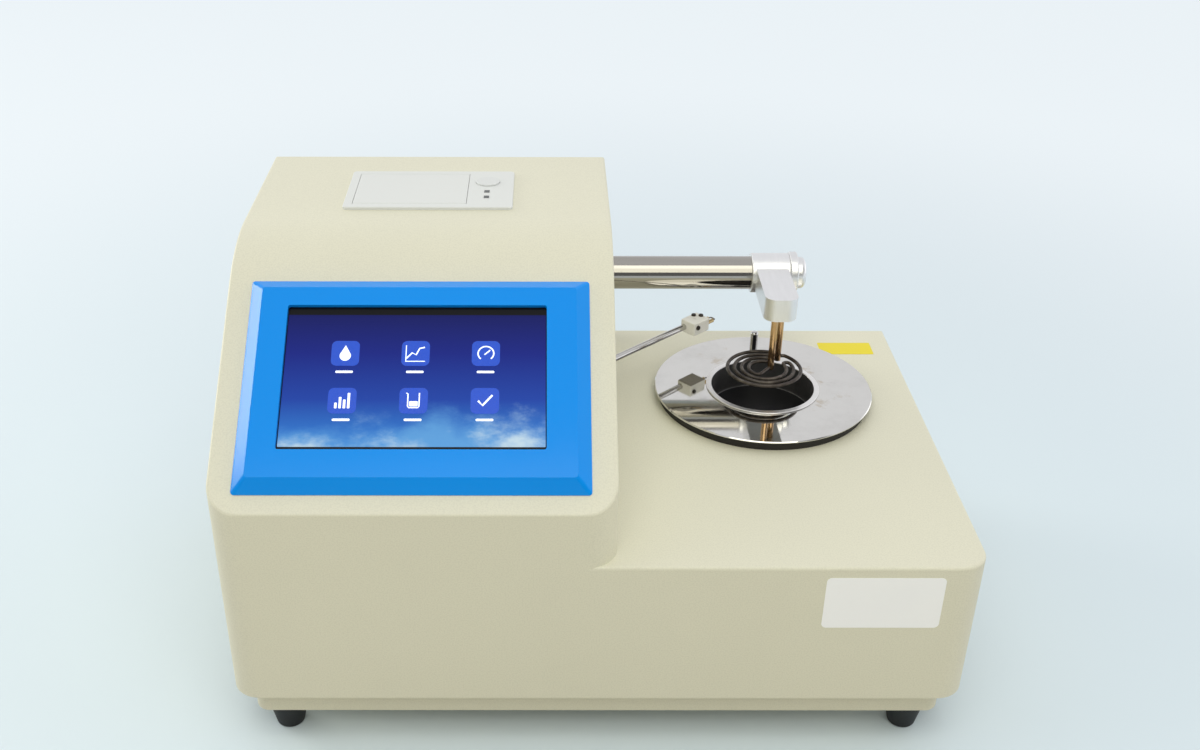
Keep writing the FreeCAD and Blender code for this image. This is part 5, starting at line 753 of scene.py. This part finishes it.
class TESTER_OT_screen(bpy.types.Operator):
    """Finish the bezel and light the display with plain tiles and signs"""
    bl_idname = "tester.screen"
    bl_label = "Screen"

    def execute(self, context):
        wanted = context.scene.tester_screen
        dress(plain_finish("bezel_plastic", wanted.bezel, roughness=0.13, spread=0.03, scale=14.0,
                           grain=1300.0, depth=0.000006, Specular_IOR_Level=0.25), "screen_bezel")
        dress(plain_finish("dark_glass", tone(6, 8, 14), roughness=0.24, spread=0.1, depth=0.0,
                           Specular_IOR_Level=0.2), "touch_glass")
        low, high = slope_box("touch_glass")
        top = high.z + PICTURE_RAISED
        middle = ((low.x + high.x) / 2, (low.y + PICTURE_BELOW + high.y - PICTURE_ABOVE) / 2)
        width = high.x - low.x - 2 * PICTURE_SIDE
        height = high.y - low.y - PICTURE_ABOVE - PICTURE_BELOW
        work = bmesh.new()
        add_prism(work, rounded(*middle, width, height, PICTURE_CORNER), high.z - PICTURE_SUNK, top)
        picture = display_picture(middle[1] - height / 2, middle[1] + height / 2, wanted.glow)
        add_piece("display_picture", as_mesh("display_picture", work, SLOPE, picture),
                  "instrument")
        self.lay_tiles(wanted, middle, width, height, top)
        return {"FINISHED"}

    def lay_tiles(self, wanted, middle, width, height, top):
        """Grid of rounded tiles, each with a plain sign of laboratory work."""
        across, down = width * TILE_ACROSS_SHARE, height * TILE_DOWN_SHARE
        left, upper = middle[0] - across, middle[1] + height * TILE_RAISE_SHARE
        tile = glowing("tile_blue", tone(24, 66, 170), strength=0.6)
        tree = Grower("display_tiles", {"Columns": wanted.columns, "Rows": wanted.rows,
                                        "Across": across, "Down": down, "Side": wanted.tile,
                                        "Corner": wanted.tile * TILE_CORNER_SHARE,
                                        "Thickness": TILE_THICKNESS})
        spread_x = tree.given("Across") * (tree.given("Columns") - 1)
        spread_y = tree.given("Down") * (tree.given("Rows") - 1)
        grid = tree.node("GeometryNodeMeshGrid", {}, {
            "Size X": spread_x, "Size Y": spread_y,
            "Vertices X": tree.given("Columns"), "Vertices Y": tree.given("Rows")})
        square = tree.node("GeometryNodeCurvePrimitiveQuadrilateral", {}, {
            "Width": tree.given("Side"), "Height": tree.given("Side")})
        corners = tree.node("GeometryNodeFilletCurve", {"mode": "POLY"}, {
            "Curve": square, "Count": 5, "Radius": tree.given("Corner"), "Limit Radius": True})
        face = tree.node("GeometryNodeFillCurve", {"mode": "NGONS"}, {"Curve": corners})
        block = tree.node("GeometryNodeExtrudeMesh", {}, {
            "Mesh": face, "Offset Scale": tree.given("Thickness"), "Individual": False})
        tiles = tree.node("GeometryNodeInstanceOnPoints", {}, {"Points": grid, "Instance": block})
        tree.close(tiles, tile, smooth=False)
        mesh = tree.grow(point_mesh("tile_start", []))
        centre = (left + across * (wanted.columns - 1) / 2, upper - down * (wanted.rows - 1) / 2)
        mesh.transform(SLOPE @ Matrix.Translation((*centre, top)))
        add_piece("display_tiles", mesh, "instrument")
        self.draw_signs(wanted, left, upper, across, down, top + TILE_THICKNESS)

    def draw_signs(self, wanted, left, upper, across, down, top):
        """Flat signs: drop, graph, dial, bars, beaker and tick, each over a plain dash."""
        size = wanted.tile
        signs = (sign_drop, sign_graph, sign_dial, sign_bars, sign_beaker, sign_tick)
        work = bmesh.new()
        for index, draw in enumerate(signs):
            x = left + across * (index % wanted.columns)
            y = upper - down * (index // wanted.columns)
            for outline in draw():
                points = [(x + px * size, y + py * size) for px, py in outline]
                add_prism(work, points, top, top + SIGN_THICKNESS)
            dash = rounded(x, y - size * DASH_DROP_SHARE, *(size * share for share in DASH_SHARES))
            add_prism(work, dash, top - TILE_THICKNESS, top)
        white = glowing("sign_white", tone(226, 236, 250), strength=0.7)
        add_piece("display_signs", as_mesh("display_signs", work, SLOPE, white),
                  "instrument")


# The signs' outlines are in shares of a tile, from its middle.

def ring_points(radius, start, end):
    """Points round a middle from one angle to another, in steps of 10 degrees."""
    return [(radius * math.cos(angle), radius * math.sin(angle))
            for angle in map(math.radians, range(start, end + 1, 10))]


def sign_drop():
    return [[(0.0, 0.32)] + [(x, y - 0.1) for x, y in ring_points(0.2, 150, 390)]]


def sign_graph():
    trace = [(-0.32, -0.2), (-0.12, 0.02), (0.02, -0.06), (0.14, 0.2), (0.32, 0.24)]
    return [stroke(trace, width=0.055), stroke([(-0.34, 0.32), (-0.34, -0.32)], width=0.035),
            stroke([(-0.36, -0.32), (0.34, -0.32)], width=0.035)]


def sign_dial():
    dial, needle = ring_points(0.28, -50, 230), [(-0.05, -0.05), (0.15, 0.13)]
    return [stroke(dial, width=0.05), stroke(needle, width=0.05)]


def sign_bars():
    return [rounded(-0.22 + 0.15 * i, -0.3 + height / 2, width=0.09, height=height, radius=0.02)
            for i, height in enumerate((0.22, 0.44, 0.34, 0.6))]


def sign_beaker():
    glass = [(-0.26, 0.3), (-0.2, 0.27), (-0.2, -0.22), (-0.16, -0.27), (0.16, -0.27), (0.2, -0.22),
             (0.2, 0.3)]
    return [stroke(glass, width=0.045), rounded(0.0, -0.12, width=0.3, height=0.2, radius=0.03)]


def sign_tick():
    return [stroke([(-0.24, 0.0), (-0.08, -0.18), (0.26, 0.22)], width=0.075)]


class TESTER_OT_printer(bpy.types.Operator):
    """Finish the panel printer, its key, lamps and paper"""
    bl_idname = "tester.printer"
    bl_label = "Printer"

    def execute(self, context):
        white = plain_finish("printer_plastic", tone(218, 221, 219), roughness=0.42, spread=0.015,
                             scale=20.0, grain=1500.0, depth=0.00002)
        dress(white, "printer_frame", "printer_door")
        dress(plain_finish("key_plastic", tone(214, 217, 216), roughness=0.36, spread=0.015,
                           grain=1500.0), "feed_button")
        dress(plain_finish("lamp_lens", tone(38, 46, 44), roughness=0.18, grain=900.0,
                           Coat_Weight=0.5), "printer_lamps")
        dress(plain_finish("thermal_paper", tone(240, 240, 236), roughness=0.7, spread=0.02),
              "paper_roll")
        dress(plain_finish("roller_rubber", tone(30, 30, 32), roughness=0.6), "platen_roller")
        dress(plain_finish("head_plastic", tone(24, 24, 26), roughness=0.5), "print_head")
        return {"FINISHED"}


class TESTER_OT_cup_seat(bpy.types.Operator):
    """Finish the heating plate, its spacer, the well and the sensor"""
    bl_idname = "tester.cup_seat"
    bl_label = "Cup Seat"

    def execute(self, context):
        dress(polished_plate(), "heat_plate")
        dress(self.well_finish(), "heating_well")
        dress(plain_finish("spacer_board", tone(38, 36, 34), roughness=0.6, grain=700.0,
                           depth=0.00006), "plate_spacer")
        dress(turned_metal("sensor_steel", (0.62, 0.61, 0.60), roughness=0.14,
                           middle=SENSOR_PIN, axis="Z"), "sensor_pin")
        return {"FINISHED"}

    def well_finish(self):
        """Bright turned lip on a well with a satin wall and a black bore."""
        finish = Finish("well_metal", Specular_IOR_Level=0.15)
        x, y, z = finish.axes()
        reach = finish.reach(x, y, (WELL_X, WELL_Y))
        bright = z.between(*LIP_FOOT)
        wall = reach.between(*BORE_EDGE)
        ring = finish.rings(reach, marks=3000.0)
        soot = finish.noise(scale=90.0, detail=5.0)
        inner = finish.mix(wall, finish.mix(soot, *BORE_TONES), finish.mix(soot, *WALL_TONES))
        light = finish.mix(ring, *LIP_TONES)
        finish.set(Base_Color=finish.mix(bright, inner, light), Metallic=wall,
                   Roughness=0.36 - bright * 0.1 + ring * 0.06)
        finish.bump(ring, distance=0.000008, strength=0.5)
        return finish.material


class TESTER_OT_arm(bpy.types.Operator):
    """Finish the lifting arm and wind its coil"""
    bl_idname = "tester.arm"
    bl_label = "Arm"

    def execute(self, context):
        wanted = context.scene.tester_heat
        dress(chrome(), "arm_tube")
        satin = turned_metal("satin_aluminium", (0.82, 0.82, 0.82), roughness=0.36,
                             middle=(ARM_Y, ARM_Z), axis="X", spread=0.03, marks=1500.0)
        dress(satin, "arm_end_cap", "arm_collar")
        dress(self.head_finish(), "arm_head")
        dress(plain_finish("rod_brass", (0.56, 0.37, 0.20), roughness=0.14, metallic=1.0,
                           spread=0.2, scale=120.0, grain=1800.0, depth=0.00001), "coil_rods")
        dress(plain_finish("bush_bronze", (0.52, 0.36, 0.18), roughness=0.35, metallic=1.0),
              "arm_bearings", "arm_gear")
        dress(plain_finish("black_screw", tone(30, 30, 32), roughness=0.35, metallic=0.8),
              "grub_screw")
        dress(ceramic(), "rod_insulators", "igniter_block")
        self.wind_coil(wanted)
        return {"FINISHED"}

    def head_finish(self):
        """Brushed aluminium, with painted shade that darkens its downward faces."""
        finish = Finish("brushed_head", Metallic=1.0)
        brush = finish.noise(scale=420.0, detail=4.0, roughness=0.6,
                             place=finish.stretched((1.0, 0.12, 0.12)))
        cloud = finish.noise(scale=60.0, detail=4.0)
        clean = finish.mix(brush, HEAD_DARK, HEAD_LIGHT)
        # Painted shade: faces that look down are mixed towards a dark brown-grey.
        finish.set(Base_Color=finish.mix(finish.underside() * 0.85, clean, HEAD_UNDERSIDE_SHADE),
                   Roughness=0.3 + cloud * 0.08 + brush * 0.06)
        finish.bump(brush, distance=0.00001, strength=0.4)
        return finish.material

    def wind_coil(self, wanted):
        """Flat coil of rings joined by hairpins, swept along its middle line."""
        tree = Grower("wound_wire", {"Wire Radius": wanted.wire_radius, "Sides": wanted.wire_sides})
        line = tree.node("GeometryNodeMeshToCurve", {}, {"Mesh": tree.start()})
        section = tree.node("GeometryNodeCurvePrimitiveCircle", {}, {
            "Resolution": tree.given("Sides"), "Radius": tree.given("Wire Radius")})
        wire = tree.node("GeometryNodeCurveToMesh", {}, {
            "Curve": line, "Profile Curve": section, "Fill Caps": True})
        tree.close(wire, burnt_wire())
        path = point_mesh("coil_path", coil_points(wanted.ring_radius, wanted.pitch), chained=True)
        add_piece("wound_coil", tree.grow(path), "arm", ("heating_coil",))


def spot(middle, angle, distance):
    """Level point at an angle in degrees from a middle."""
    turn = math.radians(angle)
    return middle + Vector((math.cos(turn), math.sin(turn), 0)) * distance


def arc_points(middle, radius, start, sweep):
    """Points on an arc, its first one left out, ARC_STEP degrees apart or a little more."""
    count = max(ARC_LEAST, int(abs(sweep) / ARC_STEP))
    return [spot(middle, start + sweep * (i + 1) / count, radius) for i in range(count)]


def coil_points(outer, pitch):
    """Wire's middle line: right rod, round the rings, then along the bar to the left rod."""
    middle = Vector((WELL_X, WELL_Y, COIL_Z))
    gap = RIGHT_ROD - middle
    angle = math.degrees(math.atan2(gap.y, gap.x))
    reach = gap.length + ROD_RADIUS + ROD_GAP
    bend = (outer ** 2 - reach ** 2) / (2 * outer)
    turned = math.degrees(math.atan2(bend, reach))
    points = [spot(middle, angle, gap.length), spot(middle, angle, reach)]
    points += arc_points(spot(points[-1], angle - 90, bend), bend, angle + 90, -90 - turned)
    radius, at, way = outer, angle - turned, -1
    for hairpin in HAIRPINS:
        start = at if way > 0 else at + 360
        end = hairpin if way < 0 else hairpin + 360
        points += arc_points(middle, radius, start, end - start)
        loop = spot(middle, hairpin, radius - pitch / 2)
        points += arc_points(loop, pitch / 2, hairpin, 180 * way)
        radius, at, way = radius - pitch, hairpin, -way
    points += arc_points(middle, radius, at, BAR_ANGLE - at)
    corner = spot(middle, BAR_ANGLE, radius - BAR_BEND)
    gap = LEFT_ROD - corner
    leave = math.degrees(math.atan2(gap.y, gap.x) - math.acos(BAR_BEND / gap.length))
    points += arc_points(corner, BAR_BEND, BAR_ANGLE, leave + 360 - BAR_ANGLE)
    points.append(LEFT_ROD)
    return points


class TESTER_OT_igniter(bpy.types.Operator):
    """Finish the swinging igniter and its hot wire"""
    bl_idname = "tester.igniter"
    bl_label = "Igniter"

    def execute(self, context):
        dress(plain_finish("rod_steel", (0.56, 0.55, 0.53), roughness=0.12, metallic=1.0,
                           spread=0.04, scale=80.0, grain=500.0, depth=0.000002), "igniter_rod",
              "swing_shaft", "igniter_hub")
        dress(plain_finish("dark_screw", tone(70, 66, 62), roughness=0.34, metallic=1.0,
                           spread=0.2), "igniter_screws")
        dress(plain_finish("terminal_brass", (0.55, 0.42, 0.22), roughness=0.3, metallic=1.0,
                           spread=0.15, scale=300.0), "igniter_terminals")
        dress(plain_finish("hot_wire", (0.30, 0.28, 0.27), roughness=0.4, metallic=1.0, spread=0.2,
                           scale=500.0), "igniter_wire")
        return {"FINISHED"}


class TESTER_OT_back(bpy.types.Operator):
    """Finish the rear fittings and set washers under the rear screws"""
    bl_idname = "tester.back"
    bl_label = "Back"

    def execute(self, context):
        wanted = context.scene.tester_back
        zinc = plain_finish("zinc_screw", (0.62, 0.62, 0.60), roughness=0.28, metallic=1.0,
                            spread=0.1, scale=200.0)
        dress(zinc, "case_screws", "base_screws", "tray_posts")
        dress(plain_finish("fitting_plastic", tone(34, 34, 36), roughness=0.42, grain=1300.0,
                           depth=0.00004), "fan_frame", "fan_rotor", "mains_inlet",
              "switch_housing", "swing_motor")
        dress(plain_finish("rocker_plastic", tone(24, 24, 26), roughness=0.25, grain=1500.0),
              "rocker")
        self.set_washers(wanted, zinc)
        return {"FINISHED"}

    def set_washers(self, wanted, zinc):
        """Flat washers between the rear panel and its screw heads."""
        places = [(x, BACK_FACE + wanted.washer_height / 2, z) for x, z in REAR_SCREWS]
        tree = Grower("rear_washers", {"Radius": wanted.washer_radius,
                                       "Height": wanted.washer_height})
        disc = tree.node("GeometryNodeMeshCylinder", {}, {
            "Vertices": 32, "Side Segments": 1, "Fill Segments": 1,
            "Radius": tree.given("Radius"), "Depth": tree.given("Height")})
        washers = tree.node("GeometryNodeInstanceOnPoints", {}, {
            "Points": tree.start(), "Instance": disc,
            "Rotation": (math.pi / 2, 0.0, 0.0)})
        tree.close(washers, zinc, smooth=False)
        grown = tree.grow(point_mesh("washer_places", places))
        add_piece("rear_washers", grown, "instrument")


class TESTER_OT_inside(bpy.types.Operator):
    """Finish the parts inside the casing"""
    bl_idname = "tester.inside"
    bl_label = "Inside"

    def execute(self, context):
        dress(plain_finish("zinc_sheet", (0.58, 0.58, 0.57), roughness=0.38, metallic=1.0,
                           spread=0.08, scale=25.0), "display_module", "display_straps",
              "lift_stand", "swing_stand", "power_supply", "heater_cover", "lift_motor",
              "pinion_shaft")
        dress(plain_finish("board_lacquer", tone(24, 92, 52), roughness=0.35, spread=0.1),
              "circuit_boards")
        dress(plain_finish("heater_sheath", (0.20, 0.18, 0.16), roughness=0.5, metallic=0.8,
                           spread=0.15), "heater_element")
        dress(plain_finish("fibre_felt", tone(226, 222, 210), roughness=0.9, scale=200.0,
                           grain=700.0, depth=0.0003), "insulation_cup")
        return {"FINISHED"}


class TESTER_OT_labels(bpy.types.Operator):
    """Finish the bare label plates"""
    bl_idname = "tester.labels"
    bl_label = "Labels"

    def execute(self, context):
        dress(paint_label("white_film", tone(250, 252, 255)), "front_label")
        dress(paint_label("yellow_film", tone(232, 214, 14)), "deck_label")
        return {"FINISHED"}


class TESTER_PT_panel(bpy.types.Panel):
    """Sizes, colours and pieces of the flash point tester"""
    bl_label = "Flash Point Tester"
    bl_idname = "TESTER_PT_panel"
    bl_space_type = "VIEW_3D"
    bl_region_type = "UI"
    bl_category = "Tester"

    def draw(self, context):
        for name in SETTINGS:
            group = getattr(context.scene, name)
            column = self.layout.column()
            for key in group.__annotations__:
                column.prop(group, key)
        for operator in OPERATORS:
            self.layout.operator(operator.bl_idname)


SETTINGS = {"tester_stage": TesterStageSettings, "tester_casing": TesterCasingSettings,
            "tester_screen": TesterScreenSettings, "tester_heat": TesterHeatSettings,
            "tester_back": TesterBackSettings}
OPERATORS = (TESTER_OT_stage, TESTER_OT_casing, TESTER_OT_screen, TESTER_OT_printer,
             TESTER_OT_cup_seat, TESTER_OT_arm, TESTER_OT_igniter, TESTER_OT_back,
             TESTER_OT_inside, TESTER_OT_labels)
CLASSES = tuple(SETTINGS.values()) + OPERATORS + (TESTER_PT_panel,)


def register():
    for kind in CLASSES:
        bpy.utils.register_class(kind)
    for name, kind in SETTINGS.items():
        setattr(bpy.types.Scene, name, bpy.props.PointerProperty(type=kind))


def unregister():
    for name in SETTINGS:
        delattr(bpy.types.Scene, name)
    for kind in reversed(CLASSES):
        bpy.utils.unregister_class(kind)


def main():
    register()
    for operator in OPERATORS:
        group, name = operator.bl_idname.split(".")
        getattr(getattr(bpy.ops, group), name)()


if __name__ == "__main__":
    main()
